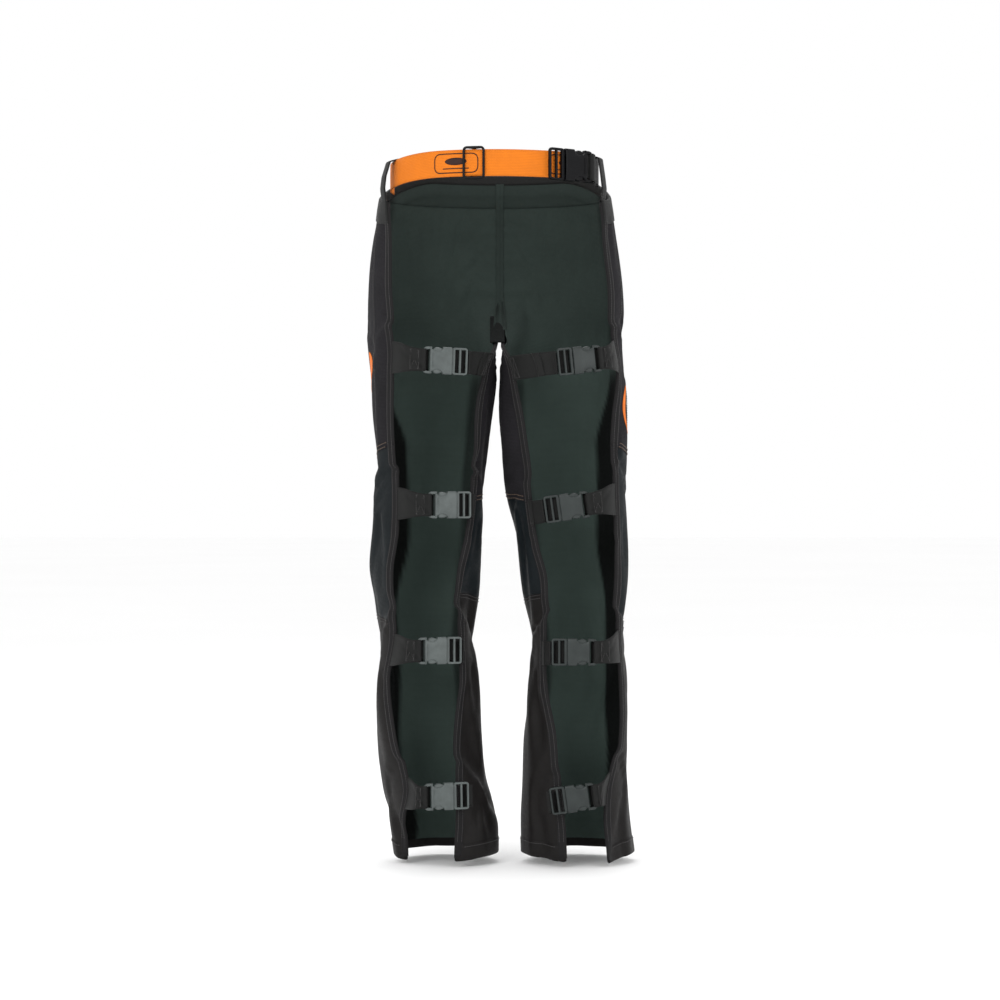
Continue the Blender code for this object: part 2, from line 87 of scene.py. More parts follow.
# Leg stations from hem to crotch: height, middle x, half width (mm), inner and outer reach from the front (degrees).
LEFT_LEG = [
    (0, -78, 70, 167, 120), (60, -83, 73, 163, 130), (112, -94, 71, 153, 149), (186, -103, 72, 144, 140),
    (258, -106, 72, 136, 130), (328, -110, 69, 131, 144), (420, -111, 80, 142, 145), (474, -106, 81, 134, 149),
    (546, -102, 80, 129, 146), (640, -102, 87, 130, 144), (700, -100, 92, 124, 144), (762, -97, 95, 116, 145)]
RIGHT_LEG = [
    (0, 115, 79, 165, 150), (60, 110, 75, 166, 147), (112, 109, 72, 162, 142), (186, 109, 70, 155, 118),
    (258, 114, 68, 134, 118), (328, 112, 68, 136, 121), (410, 109, 76, 146, 127), (474, 106, 80, 136, 130),
    (546, 98, 86, 139, 129), (640, 92, 91, 138, 125), (700, 90, 91, 130, 118), (762, 90, 90, 116, 117)]
# Depth of either leg: height, middle y, half depth.
LEG_DEPTH = [(0, -3, 75), (60, -6, 72), (112, -10, 70), (186, -12, 68), (258, -12, 67), (328, -8, 66),
             (420, 0, 70), (474, 0, 72), (546, 2, 76), (640, 4, 85), (700, 5, 91), (762, 5, 95)]
# Hips: height, half width of the left and the right, half depth, and how far round from the front each reaches.
HIPS = [(700, 190, 184, 104, 129, 117), (780, 191, 184, 106, 126, 116), (830, 190, 183, 110, 123, 115),
        (876, 186, 177, 115, 121, 115), (936, 175, 167, 118, 115, 115), (996, 169, 160, 117, 110, 118),
        (1040, 166, 157, 116, 108, 118)]
# Straps from crotch to hem: buckle x and z, rise outwards in degrees, sewn heights of the outer and inner
# ends, and how far the buckle's middle plane stands off the panel's face.
STRAPS = {
    "left": [(-78, 721, 2, 727, 718, 3.5), (-72, 516, 0, 518, 515, 3.5), (-86, 308, 0, 308, 306, 5.5),
             (-76, 101, -1, 103, 100, 7.5)],
    "right": [(113, 722, 6, 730, 712, 3.5), (96, 513, 8, 524, 505, 3.5), (106, 306, 0, 312, 303, 5),
              (104, 98, 8, 109, 90, 9)],
}
SIDES = {"left": -1, "right": 1}

# ---- sizes of the finish ------------------------------------------------------------------------
KNEE_SEAM_INNER, KNEE_SEAM_OUTER = 0.520, 0.604    # the slanted seam above the knee
SHIN_SEAM_INNER, SHIN_SEAM_OUTER = 0.392, 0.350    # the slanted seam below it
SEAM_LAP = 9 * MM
TAPE_WIDE = 11 * MM              # binding on the panel's back edges
LINING_JOIN = 0.512
LINING_DEPTH = 7.2 * MM          # how deep the lining lies over the padding
LINING_EDGE = 2.0 * MM           # and at the bound edges, where there is no padding
PADDING_INSET = 30 * MM
SEAM_BITE = 9 * MM               # how much of a web lies in the edge's seam, under the binding
BINDING_ROWS = (2.2 * MM, 8.6 * MM)    # how far in from the edge each of a binding's stitch rows runs
CREASE_Z, CREASE_BAND = 0.772, 49 * MM    # the hip's crease at the front seam, and how far down it bends
PADDING_MARGIN = 0.11            # share of the panel's width without padding, at either edge
PADDING_DEPTH = SHELL_THICK + 1.1 * MM
PADDING_SHEET = PAD_THICK - 2.4 * MM
WEB_REACH = 20.5 * MM            # how far in from a buckle's ladder end its web lies under the ladder
LOOP_AT, LOOP_WEB = LOOP_TURN + 5, 0.72 * LOOP_WIDE    # where a belt loop's web stands, and its width
LAST_ARC_TURN = 14.0             # where the elastic leaves the belt's oval for its buckle
FIRST_ARC_TURN = 74.0            # and where the short web comes back to it
DRAPE_ROWS, DRAPE_COLUMNS, DRAPE_FRAMES = 111, 45, 24


# ---- the panel's surface ------------------------------------------------------------------------
def side_name(side):
    """The name of side -1 or 1."""
    return "left" if side < 0 else "right"


def grid_of(*parts):
    """Arrays that fit each other, spread to one grid with a number from each at every place."""
    return np.stack(np.broadcast_arrays(*parts), -1)


def smooth(low, high, at):
    """0 below low, 1 above high, and an S curve between."""
    t = np.clip((np.asarray(at, float) - low) / (high - low), 0.0, 1.0)
    return t * t * (3 - 2 * t)


def between(table, z):
    """The other columns of a station table at heights z, on a Catmull-Rom curve through its rows."""
    rows = np.array(table, float)
    heights = rows[:, 0] * MM
    z = np.clip(np.asarray(z, float), heights[0], heights[-1])
    i = np.clip(np.searchsorted(heights, z, side="right") - 1, 0, len(rows) - 2)
    before, after = np.maximum(i - 1, 0), np.minimum(i + 2, len(rows) - 1)
    span = heights[i + 1] - heights[i]
    t = ((z - heights[i]) / span)[..., None]
    start, end = rows[i, 1:], rows[i + 1, 1:]
    lean_start = (end - rows[before, 1:]) * (span / (heights[i + 1] - heights[before]))[..., None]
    lean_end = (rows[after, 1:] - start) * (span / (heights[after] - heights[i]))[..., None]
    mixed = ((2 * t**3 - 3 * t**2 + 1) * start + (t**3 - 2 * t**2 + t) * lean_start
             + (3 * t**2 - 2 * t**3) * end + (t**3 - t**2) * lean_end)
    return np.moveaxis(mixed, -1, 0)


def leg_section(side, z):
    """Middle x and y, half width, half depth, and the inner and outer reach in radians, at heights z."""
    middle, half, inner, outer = between(LEFT_LEG if side < 0 else RIGHT_LEG, z)
    y, deep = between(LEG_DEPTH, z)
    return middle * MM, y * MM, half * MM, deep * MM, np.radians(inner), np.radians(outer)


def panel_face(side, u, z):
    """The undraped outer face: u runs from the inner edge (the fly, above the crotch) to the outer back edge.

    A leg's section is an ellipse arc from -inner to +outer, the hips' one from 0 to their reach times u to the
    power 1.5, and the two are mixed over the crotch's heights."""
    u, z = np.broadcast_arrays(np.asarray(u, float), np.asarray(z, float))
    x, y, wide, deep, inner, outer = leg_section(side, np.minimum(z, 0.762))
    turn = -inner + u * (inner + outer)
    leg_x, leg_y = x + side * wide * np.sin(turn), y + deep * np.cos(turn)
    left_wide, right_wide, hip_deep, left_reach, right_reach = between(HIPS, z)
    hip_wide = left_wide if side < 0 else right_wide
    turn = np.radians(left_reach if side < 0 else right_reach) * np.sign(u) * np.abs(u)**HIPS_SPREAD
    fly = side * FLY_GAP * (1 - u)
    hip_x = HIPS_X * smooth(0, 0.3, u) + fly + side * hip_wide * MM * np.sin(turn)
    hip_y = hip_deep * MM * np.cos(turn)
    share_x, share_y = smooth(*CROTCH_X, z), smooth(*CROTCH_Y, z)
    return np.stack((leg_x + (hip_x - leg_x) * share_x, leg_y + (hip_y - leg_y) * share_y, z), -1)


def unit(vectors):
    """The vectors at length 1."""
    return vectors / np.maximum(np.linalg.norm(vectors, axis=-1, keepdims=True), 1e-12)


def panel_normal(side, u, z):
    """Unit vectors out of the panel: the slope along u crossed with the slope along z."""
    du, dz = 0.004, 0.004
    along = panel_face(side, u + du, z) - panel_face(side, np.where(u > du, u - du, u), z)
    up = panel_face(side, u, z + dz) - panel_face(side, u, z - dz)
    return unit(np.cross(along, up) * -side)


def yoke_top(u):
    """Height of the yoke's top edge, which falls towards the back corners."""
    return YOKE_TOP_Z - YOKE_DIP * smooth(0.45, 1.0, u)


def hem_line(u):
    """Height of the hem, whose back corners hang lower than its middle."""
    return HEM_Z - 7 * MM * smooth(0.86, 1.0, u) - 4 * MM * smooth(0.14, 0.0, u)


def knee_seam(u):
    """Height of the slanted seam above the knee patch: steepest at the outer edge."""
    return KNEE_SEAM_INNER + (KNEE_SEAM_OUTER - KNEE_SEAM_INNER) * np.abs(u)**1.3


def shin_seam(u):
    """Height of the slanted seam below the knee patch."""
    return SHIN_SEAM_INNER + (SHIN_SEAM_OUTER - SHIN_SEAM_INNER) * u


def edge_step(side, edge, z, distance):
    """The u that lies a distance in from the inner (0) or outer (1) back edge: distance over the slope along u."""
    near = 0.03 if edge == 0 else 0.97
    slope = np.linalg.norm(panel_face(side, near + 0.02, z) - panel_face(side, near - 0.02, z), axis=-1) / 0.04
    step = distance / slope
    return step if edge == 0 else 1 - step


def edge_distance(side, u, z):
    """Metres from the nearest bound edge: the back edges, and the hem. The fly above the crotch is no edge."""
    slope = np.linalg.norm(panel_face(side, u + 0.01, z) - panel_face(side, u - 0.01, z), axis=-1) / 0.02
    inner = u * slope + smooth(0.745, 0.775, z)
    return np.minimum(np.minimum(inner, (1 - u) * slope), np.minimum(z - hem_line(u), yoke_top(u) - z))


# ---- the drape ----------------------------------------------------------------------------------
def held_cloth(side, u, z):
    """How firmly the cloth is held, 0 to 1: at the waist, down the fly, where straps are sewn, and a little
    everywhere else."""
    held = smooth(0.90, 0.97, z)
    held = np.maximum(held, smooth(0.30, 0.05, u) * smooth(0.69, 0.75, z))
    for _, _, _, outer_z, inner_z, _ in STRAPS[side_name(side)]:
        for edge, root in ((1.0, outer_z * MM), (0.0, inner_z * MM)):
            reach = np.hypot((u - edge) * 0.38, z - root)
            held = np.maximum(held, smooth(0.060, 0.030, reach))
    return np.maximum(held, 0.03)


def soft_folds(side, u, z):
    """Folds worn into the cloth, as metres out of the face: upright ones down the shin and at the back edges,
    and slanted ones that run from the strap ends towards the knee."""
    phase = 0.7 if side < 0 else 2.1
    shin = smooth(0.44, 0.30, z)
    wander = 0.035 * np.sin(9.0 * z + phase) + 0.02 * np.sin(23.0 * z + 2 * phase)
    upright = np.sin(2 * math.pi * (u + wander) * 7.5 + phase) * (1.3 + 0.7 * np.sin(17 * z + phase))
    slant = np.sin(2 * math.pi * (u * 2.6 + z * (7.0 if side < 0 else 6.2)) + phase)
    knee = smooth(0.33, 0.40, z) * smooth(0.60, 0.50, z)
    thigh = smooth(0.56, 0.64, z) * smooth(0.86, 0.76, z)
    long = np.sin(2 * math.pi * (u + 0.5 * wander) * 4.2 - phase) * np.sin(11 * z + phase)
    folds = shin * upright * 1.05 + knee * slant * 1.5 + thigh * long * 1.4
    fade = smooth(0.0, 0.10, z) * 0.45 + 0.55
    return folds * MM * fade


def simulate_drape(side):
    """Hang one undraped half as cloth, cut 2.5 % over size and held by held_cloth, and return how far its points
    moved: first capped, then added to the worn folds."""
    settings = bpy.context.scene.chaps_cloth
    share = np.linspace(0, 1, DRAPE_ROWS)[:, None]
    u = np.linspace(0, 1, DRAPE_COLUMNS)[None, :] * np.ones_like(share)
    z = HEM_Z + (yoke_top(u) - HEM_Z) * share
    rest = panel_face(side, u, z)
    normal = panel_normal(side, u, z)
    held = held_cloth(side, u, z)
    moved = np.zeros_like(rest)
    if settings.simulate:
        mesh = grid_mesh("hanging_half", [open_grid(rest, None, normal)])
        hanging = bpy.data.objects.new("hanging_half", mesh)
        bpy.context.scene.collection.objects.link(hanging)
        group = hanging.vertex_groups.new(name="held")
        levels = np.round(held.ravel(), 2)
        for level in np.unique(levels):
            group.add(np.flatnonzero(levels == level).tolist(), float(level), "REPLACE")
        cloth_step = hanging.modifiers.new("hanging", "CLOTH")
        cloth = cloth_step.settings
        cloth.quality = 6
        cloth.mass = 0.35
        cloth.tension_stiffness = cloth.compression_stiffness = 18
        cloth.shear_stiffness = 8
        cloth.bending_stiffness = 1.2
        cloth.air_damping = 4
        cloth.shrink_min = -settings.fullness
        cloth.vertex_group_mass = "held"
        cloth.pin_stiffness = 0.6
        cloth.effector_weights.gravity = 0.35
        cloth_step.collision_settings.use_collision = False
        cloth_step.point_cache.frame_end = DRAPE_FRAMES
        for step in range(1, DRAPE_FRAMES + 1):
            bpy.context.scene.frame_set(step)
        result = hanging.evaluated_get(bpy.context.evaluated_depsgraph_get()).to_mesh()
        points = np.empty(len(result.vertices) * 3)
        result.vertices.foreach_get("co", points)
        moved = points.reshape(rest.shape) - rest
        bpy.data.objects.remove(hanging)
        bpy.context.scene.frame_set(1)
    reach = np.linalg.norm(moved, axis=-1, keepdims=True)
    moved *= settings.fold_cap * np.tanh(reach / settings.fold_cap) / np.maximum(reach, 1e-9)
    moved += normal * (soft_folds(side, u, z) * (1 - held))[..., None]
    return moved * (1 - smooth(0.985, 1.0, share))[..., None]


DRAPES = {}


def cubic_weights(t):
    """Catmull-Rom weights of the four grid lines round a point at share t between the middle two."""
    return ((-t + 2 * t**2 - t**3) / 2, (2 - 5 * t**2 + 3 * t**3) / 2,
            (t + 4 * t**2 - 3 * t**3) / 2, (t**3 - t**2) / 2)


def drape(side, u, z):
    """How far the draped cloth lies from the undraped face, read from the simulated grid by Catmull-Rom curves."""
    if side not in DRAPES:
        DRAPES[side] = simulate_drape(side)
    table = DRAPES[side]
    share = (z - HEM_Z) / (yoke_top(u) - HEM_Z)
    row = np.clip(share, 0, 1) * (DRAPE_ROWS - 1)
    column = np.clip(u, 0, 1) * (DRAPE_COLUMNS - 1)
    j = np.minimum(row.astype(int), DRAPE_ROWS - 2)
    i = np.minimum(column.astype(int), DRAPE_COLUMNS - 2)
    total = np.zeros(row.shape + (3,))
    for b, tall in enumerate(cubic_weights(row - j)):
        for a, wide in enumerate(cubic_weights(column - i)):
            near = table[np.clip(j + b - 1, 0, DRAPE_ROWS - 1), np.clip(i + a - 1, 0, DRAPE_COLUMNS - 1)]
            total += near * (tall * wide)[..., None]
    return total


def cloth_point(side, u, z, depth=0.0):
    """Points a depth under the draped outer face, in the frame; a negative depth stands out of it."""
    u, z, depth = np.broadcast_arrays(*(np.asarray(v, float) for v in (u, z, depth)))
    return (panel_face(side, u, z) + drape(side, u, z) - panel_normal(side, u, z) * depth[..., None] + SHIFT)


# ---- meshes -------------------------------------------------------------------------------------
def open_grid(points, uv=None, out=None):
    """An open sheet shape from rows and columns of points, turned so that its faces look along out."""
    across = points[:, 1:] - points[:, :-1]
    up = points[1:] - points[:-1]
    facing = np.cross(across[:-1], up[:, :-1])
    flip = out is not None and (facing * np.broadcast_to(out, points.shape)[:-1, :-1]).sum() < 0
    return {"points": points, "uv": uv, "wrap": False, "capped": False, "flip": flip}


def folded_grid(points, uv, part, out):
    """An open sheet shape that folds back on itself, turned so that one part of it looks along out."""
    return {**open_grid(points[part], None, out), "points": points, "uv": uv}


def closed_tube(points, loop=False):
    """A closed shape from rings of points, turned so that its volume is positive: its ends are flat caps, or a
    loop joins the last ring to the first."""
    rings = np.concatenate((points, points[:1])) if loop else points
    a, b = rings[:-1], np.roll(rings[:-1], -1, axis=1)
    c, d = np.roll(rings[1:], -1, axis=1), rings[1:]
    volume = (a * np.cross(b, c)).sum() + (a * np.cross(c, d)).sum()
    if not loop:
        for ring, turn in ((points[0], -1), (points[-1], 1)):
            middle = ring.mean(0)
            volume += turn * (middle * np.cross(ring, np.roll(ring, -1, axis=0))).sum()
    return {"points": points, "uv": None, "wrap": True, "capped": not loop, "loop": loop, "flip": bool(volume < 0)}


def grid_mesh(name, shapes):
    """One mesh from shapes: quads between neighbouring rows and columns, and one flat face over each cap."""
    points, faces, uvs, start = [], [], [], 0
    for shape in shapes:
        grid = shape["points"]
        rows, columns = grid.shape[:2]
        j = np.arange(rows if shape.get("loop") else rows - 1)[:, None]
        i = np.arange(columns if shape["wrap"] else columns - 1)[None, :]
        up, right = (j + 1) % rows, (i + 1) % columns
        corners = (j * columns + i, j * columns + right, up * columns + right, up * columns + i)
        quads = np.stack([np.broadcast_to(c, (len(j), i.shape[1])) for c in corners], -1).reshape(-1, 4) + start
        caps = []
        if shape["capped"]:
            ring = np.arange(columns)
            caps = [(ring[::-1] + start).tolist(), (ring + (rows - 1) * columns + start).tolist()]
        if shape["flip"]:
            quads = quads[:, ::-1]
            caps = [cap[::-1] for cap in caps]
        faces += quads.tolist() + caps
        points.append(grid.reshape(-1, 3))
        uv = shape["uv"]
        uvs.append(np.zeros((rows * columns, 2)) if uv is None else uv.reshape(-1, 2))
        start += rows * columns
    mesh = bpy.data.meshes.new(name)
    mesh.from_pydata(np.concatenate(points), [], faces)
    layer = mesh.uv_layers.new(name="UVMap")
    corners = np.empty(len(mesh.loops), int)
    mesh.loops.foreach_get("vertex_index", corners)
    layer.data.foreach_set("uv", np.concatenate(uvs)[corners].astype(np.float32).ravel())
    return mesh


def piece(name, shapes, finish, thick=0.0, sharp=None, replaces=(), shade=None):
    """An object of the chaps from shapes, with its finish. A sheet gets its thickness behind its face."""
    mesh = grid_mesh(name, shapes)
    # The shade attribute carries painted shade, which finishes given a sides colour mix in.
    if shade is not None:
        mesh.attributes.new("shade", "FLOAT", "POINT").data.foreach_set("value", shade.ravel().astype(np.float32))
    mesh.shade_smooth()
    if sharp:
        mesh.set_sharp_from_angle(angle=math.radians(sharp))
    mesh.materials.append(finish)
    made = bpy.data.objects.new(name, mesh)
    bpy.context.scene.collection.objects.link(made)
    if thick:
        wall = made.modifiers.new("thickness", "SOLIDIFY")
        wall.thickness = thick
        wall.offset = -1
        wall.use_even_offset = False
    if replaces:
        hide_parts(*replaces)
    return made


def cloth_uv(side, u, z):
    """The cloth's own map in metres: across from the front, and up."""
    girth = np.linalg.norm(np.diff(panel_face(side, np.linspace(0, 1, 41)[None, :], z[:, :1]), axis=1), axis=-1)
    return np.stack((u * girth.sum(1)[:, None], z), -1)


def stretch(side, u, low, high, rows, depth):
    """A stretch of panel between two height curves as (points, uv, u, z), at a depth that may vary."""
    share = np.linspace(0, 1, rows)[:, None]
    u = np.broadcast_to(u, (rows, u.shape[-1]))
    z = low(u) + (high(u) - low(u)) * share
    deep = depth(u, z) if callable(depth) else depth
    return cloth_point(side, u, z, deep), cloth_uv(side, u, z), u, z


def cut_size(side, low, high):
    """The flat size a panel piece is cut to: its widest row, its longest column, and the undraped face's area."""
    u = np.linspace(0, 1, 49)[None, :] * np.ones((49, 1))
    z = low(u) + (high(u) - low(u)) * np.linspace(0, 1, 49)[:, None]
    face = panel_face(side, u, z)
    across, up = np.diff(face, axis=1), np.diff(face, axis=0)
    width = np.linalg.norm(across, axis=-1).sum(1).max()
    length = np.linalg.norm(up, axis=-1).sum(0).max()
    area = np.linalg.norm(np.cross(across[:-1], up[:, :-1]), axis=-1).sum()
    return (float(width), float(length)), float(min(area, 0.999 * width * length))


def path_lengths(points):
    """Distance along a path to each of its points."""
    steps = np.linalg.norm(np.diff(points, axis=0), axis=-1)
    return np.concatenate(([0.0], np.cumsum(steps)))


def points_at(at, far, path):
    """Places at distances along a path, whose own points lie at the distances far."""
    return np.stack([np.interp(at, far, column) for column in path.T], -1)


def even_path(points, normals, pitch):
    """Places, directions and out vectors every pitch along a path."""
    far = path_lengths(points)
    at = np.arange(pitch / 2, far[-1], pitch)
    ahead, behind = (points_at(at + step * pitch, far, points) for step in (0.2, -0.2))
    return points_at(at, far, points), unit(ahead - behind), unit(points_at(at, far, normals))


def stitches(paths, gauge=1.0):
    """Rows of raised stitches: each is a short thread, four rings of six points, thin at both ends where it dives."""
    trim = bpy.context.scene.chaps_trim
    pitch, thread = trim.stitch * gauge, trim.thread * gauge
    long = 0.75 * pitch
    made = []
    ring = np.arange(6) * math.pi / 3
    for points, normals in paths:
        place, along, out = even_path(points, normals, pitch)
        if not len(place):
            continue
        aside = unit(np.cross(along, out))
        for share, thin, lift in ((-0.5, 0.45, -0.6), (-0.26, 1.0, 0.35), (0.26, 1.0, 0.35), (0.5, 0.45, -0.6)):
            middle = place + along * share * long + out * lift * thread
            circle = (aside[:, None] * np.cos(ring)[None, :, None] + out[:, None] * np.sin(ring)[None, :, None])
            made.append(middle[:, None] + circle * thread * thin)
    stacked = [np.stack(made[k:k + 4], 1) for k in range(0, len(made), 4)]
    return np.concatenate(stacked)


def stitch_mesh(name, rows):
    """One mesh of many stitches: the same eighteen quads and two caps for each."""
    count = len(rows)
    i, j = np.meshgrid(np.arange(6), np.arange(3))
    i, j = i.ravel(), j.ravel()
    quads = np.stack((j * 6 + i, j * 6 + (i + 1) % 6, (j + 1) * 6 + (i + 1) % 6, (j + 1) * 6 + i), -1)
    first = rows[0]
    inside = np.cross(first[0, 1] - first[0, 0], first[1, 0] - first[0, 0]) @ (first[0, 0] - first[0].mean(0)) < 0
    caps = np.stack((np.arange(6)[::-1], np.arange(6) + 18))
    if inside:
        quads, caps = quads[:, ::-1], caps[:, ::-1]
    offset = (np.arange(count) * 24)[:, None, None]
    faces = (quads[None] + offset).reshape(-1, 4).tolist() + (caps[None] + offset).reshape(-1, 6).tolist()
    mesh = bpy.data.meshes.new(name)
    mesh.from_pydata(rows.reshape(-1, 3), [], faces)
    mesh.shade_smooth()
    return mesh


def sewing(name, paths, finish, gauge=1.0):
    """An object of stitches along paths, gauge times the usual size."""
    mesh = stitch_mesh(name, stitches(paths, gauge))
    mesh.materials.append(finish)
    made = bpy.data.objects.new(name, mesh)
    bpy.context.scene.collection.objects.link(made)
    return made


def seam_path(side, u, z, depth=-0.4 * MM):
    """Points and out vectors of a stitch row on the cloth."""
    u, z = np.broadcast_arrays(np.asarray(u, float), np.asarray(z, float))
    return cloth_point(side, u, z, depth), panel_normal(side, u, z)


def bar(path, across, half_wide, half_thick, loop=False, sides=10, square=0.65):
    """A rounded bar carried along a flat path: rings of half_wide beside the path and half_thick along across."""
    ahead = np.roll(path, -1, 0) - np.roll(path, 1, 0) if loop else np.gradient(path, axis=0)
    beside = unit(np.cross(unit(ahead), across))
    turn = (np.arange(sides) + 0.5) * 2 * math.pi / sides
    c, s = np.cos(turn), np.sin(turn)
    c, s = np.sign(c) * np.abs(c)**square, np.sign(s) * np.abs(s)**square
    half_wide = np.broadcast_to(half_wide, (len(path),))[:, None, None]
    half_thick = np.broadcast_to(half_thick, (len(path),))[:, None, None]
    rings = (path[:, None] + beside[:, None] * c[None, :, None] * half_wide
             + np.asarray(across, float)[None, None] * s[None, :, None] * half_thick)
    return closed_tube(rings, loop=loop)


def rounded_path(corners, radius, steps=5, loop=False):
    """A path through corners, each rounded by a parabola that starts and ends a radius from it."""
    corners = np.asarray(corners, float)
    made = []
    count = len(corners)
    t = np.linspace(0, 1, steps)[:, None]
    for k, corner in enumerate(corners):
        if not loop and k in (0, count - 1):
            made.append(corner[None])
            continue
        start = corner + unit(corners[k - 1] - corner) * radius
        end = corner + unit(corners[(k + 1) % count] - corner) * radius
        made.append((1 - t)**2 * start + 2 * t * (1 - t) * corner + t**2 * end)
    return np.concatenate(made)


def box_path(low_x, high_x, y, first_z, last_z, radius, steps):
    """A closed rectangle in the plane of y with rounded corners, from its low x and first z."""
    corners = [(low_x, y, first_z), (high_x, y, first_z), (high_x, y, last_z), (low_x, y, last_z)]
    return rounded_path(corners, radius, steps, loop=True)


def moved_shapes(shapes, turn, at):
    """Shapes turned by a 3 x 3 matrix whose columns are the new axes, and put at a place."""
    return [{**shape, "points": shape["points"] @ np.asarray(turn).T + at} for shape in shapes]


# ---- materials ----------------------------------------------------------------------------------
def tint(code):
    """Linear red, green, blue and 1 from an sRGB hex code; a colour that is linear already passes through."""
    if not isinstance(code, str):
        return code
    parts = [int(code.lstrip("#")[k:k + 2], 16) / 255 for k in (0, 2, 4)]
    return (*(p / 12.92 if p <= 0.04045 else ((p + 0.055) / 1.055)**2.4 for p in parts), 1.0)


def add(tree, kind, inputs=None, **settings):
    """Add a node with its settings, and set or link its inputs."""
    made = tree.nodes.new(kind)
    for key, value in settings.items():
        setattr(made, key, value)
    for key, value in (inputs or {}).items():
        if isinstance(value, bpy.types.NodeSocket):
            tree.links.new(value, made.inputs[key])
        else:
            made.inputs[key].default_value = value
    return made


def new_finish(name, constants):
    """A material and its node tree, with the output in place and the shader's constants on its own sockets."""
    made = bpy.data.materials.new(name)
    made.use_nodes = True
    made.node_tree.nodes.clear()
    shader = add(made.node_tree, "ShaderNodeBsdfPrincipled", constants)
    add(made.node_tree, "ShaderNodeOutputMaterial", {"Surface": shader.outputs["BSDF"]})
    return made, made.node_tree, shader


def per_metre(period):
    """The scale at which a Wave texture repeats every period metres."""
    return math.pi / 10 / period


def weave_finish(name, thread, light, dark, rough, bump, sheen, mottle, coat=0.0, slack=0.0, sides=None):
    """A woven cloth in plain weave: over and under threads every thread metres each way, darker between them, faded
    in soft patches. Where sides is given, the cloth turns to that colour as its shade attribute rises: painted shade,
    in the colour sides."""
    made, tree, shader = new_finish(name, {
        "IOR": 1.5, "Specular IOR Level": 0.14, "Sheen Weight": sheen, "Sheen Roughness": 0.5,
        "Sheen Tint": tint("#8c8c90"), "Coat Weight": coat, "Coat Roughness": 0.35})
    where = add(tree, "ShaderNodeTexCoord")
    warp, weft = (add(tree, "ShaderNodeTexWave", {"Vector": where.outputs["UV"], "Scale": per_metre(period),
                                                  "Distortion": slack, "Detail": 1.0, "Detail Scale": 2.0},
                      wave_type="BANDS", bands_direction=way)
                  for period, way in ((thread, "X"), (thread * 1.15, "Y")))
    threads = add(tree, "ShaderNodeMath", {0: warp.outputs["Fac"], 1: weft.outputs["Fac"]}, operation="MULTIPLY")
    soft = add(tree, "ShaderNodeTexNoise", {"Vector": where.outputs["Object"], "Scale": 1 / 0.045, "Detail": 4.0,
                                            "Roughness": 0.6})
    fine = add(tree, "ShaderNodeTexNoise", {"Vector": where.outputs["Object"], "Scale": 1 / 0.004, "Detail": 2.0})
    patches = add(tree, "ShaderNodeMapRange", {"Value": soft.outputs["Fac"], "From Min": 0.3, "From Max": 0.7,
                                               "To Min": 1 - mottle, "To Max": 1 + mottle})
    ground = add(tree, "ShaderNodeMix", {0: threads.outputs[0], 6: tint(dark), 7: tint(light)}, data_type="RGBA")
    faded = add(tree, "ShaderNodeVectorMath", {0: ground.outputs[2], "Scale": patches.outputs["Result"]},
                operation="SCALE")
    # Painted shade: the shade attribute mixes the cloth towards the dark sides colour.
    if sides:
        shade = add(tree, "ShaderNodeAttribute", attribute_name="shade")
        faded = add(tree, "ShaderNodeMix", {0: shade.outputs["Fac"], 6: faded.outputs[0], 7: tint(sides)},
                    data_type="RGBA")
    tree.links.new(faded.outputs[2 if sides else 0], shader.inputs["Base Color"])
    worn = add(tree, "ShaderNodeMapRange", {"Value": fine.outputs["Fac"], "From Min": 0.3, "From Max": 0.7,
                                            "To Min": rough - 0.06, "To Max": rough + 0.06})
    tree.links.new(worn.outputs["Result"], shader.inputs["Roughness"])
    raised = add(tree, "ShaderNodeMath", {0: fine.outputs["Fac"], 1: 0.35, 2: threads.outputs[0]},
                 operation="MULTIPLY_ADD")
    relief = add(tree, "ShaderNodeBump", {"Height": raised.outputs[0], "Distance": bump, "Strength": 0.8})
    tree.links.new(relief.outputs["Normal"], shader.inputs["Normal"])
    return made


def ribbed_finish(name, rib, light, dark, rough, bump, across="Y", sheen=0.1):
    """Woven narrow web: fine ribs every rib metres, crossed by a faint slanting herringbone, a little finer."""
    made, tree, shader = new_finish(name, {"IOR": 1.5, "Specular IOR Level": 0.2, "Sheen Weight": sheen,
                                           "Sheen Roughness": 0.4})
    where = add(tree, "ShaderNodeTexCoord")
    ribs = add(tree, "ShaderNodeTexWave", {"Vector": where.outputs["UV"], "Scale": per_metre(rib),
                                           "Distortion": 0.35, "Detail": 2.0, "Detail Scale": 3.0},
               wave_type="BANDS", bands_direction=across)
    cross = add(tree, "ShaderNodeTexWave", {"Vector": where.outputs["UV"], "Scale": per_metre(rib * 0.8),
                                            "Distortion": 0.6, "Detail": 1.0},
                wave_type="BANDS", bands_direction="DIAGONAL")
    mixed = add(tree, "ShaderNodeMath", {0: cross.outputs["Fac"], 1: 0.35, 2: ribs.outputs["Fac"]},
                operation="MULTIPLY_ADD")
    dust = add(tree, "ShaderNodeTexNoise", {"Vector": where.outputs["Object"], "Scale": 1 / 0.02, "Detail": 5.0,
                                            "Roughness": 0.65})
    shade = add(tree, "ShaderNodeMath", {0: mixed.outputs[0], 1: dust.outputs["Fac"]}, operation="MULTIPLY")
    ground = add(tree, "ShaderNodeMix", {0: shade.outputs[0], 6: tint(dark), 7: tint(light)}, data_type="RGBA")
    tree.links.new(ground.outputs[2], shader.inputs["Base Color"])
    worn = add(tree, "ShaderNodeMapRange", {"Value": dust.outputs["Fac"], "To Min": rough - 0.08,
                                            "To Max": rough + 0.08})
    tree.links.new(worn.outputs["Result"], shader.inputs["Roughness"])
    relief = add(tree, "ShaderNodeBump", {"Height": mixed.outputs[0], "Distance": bump, "Strength": 0.9})
    tree.links.new(relief.outputs["Normal"], shader.inputs["Normal"])
    return made


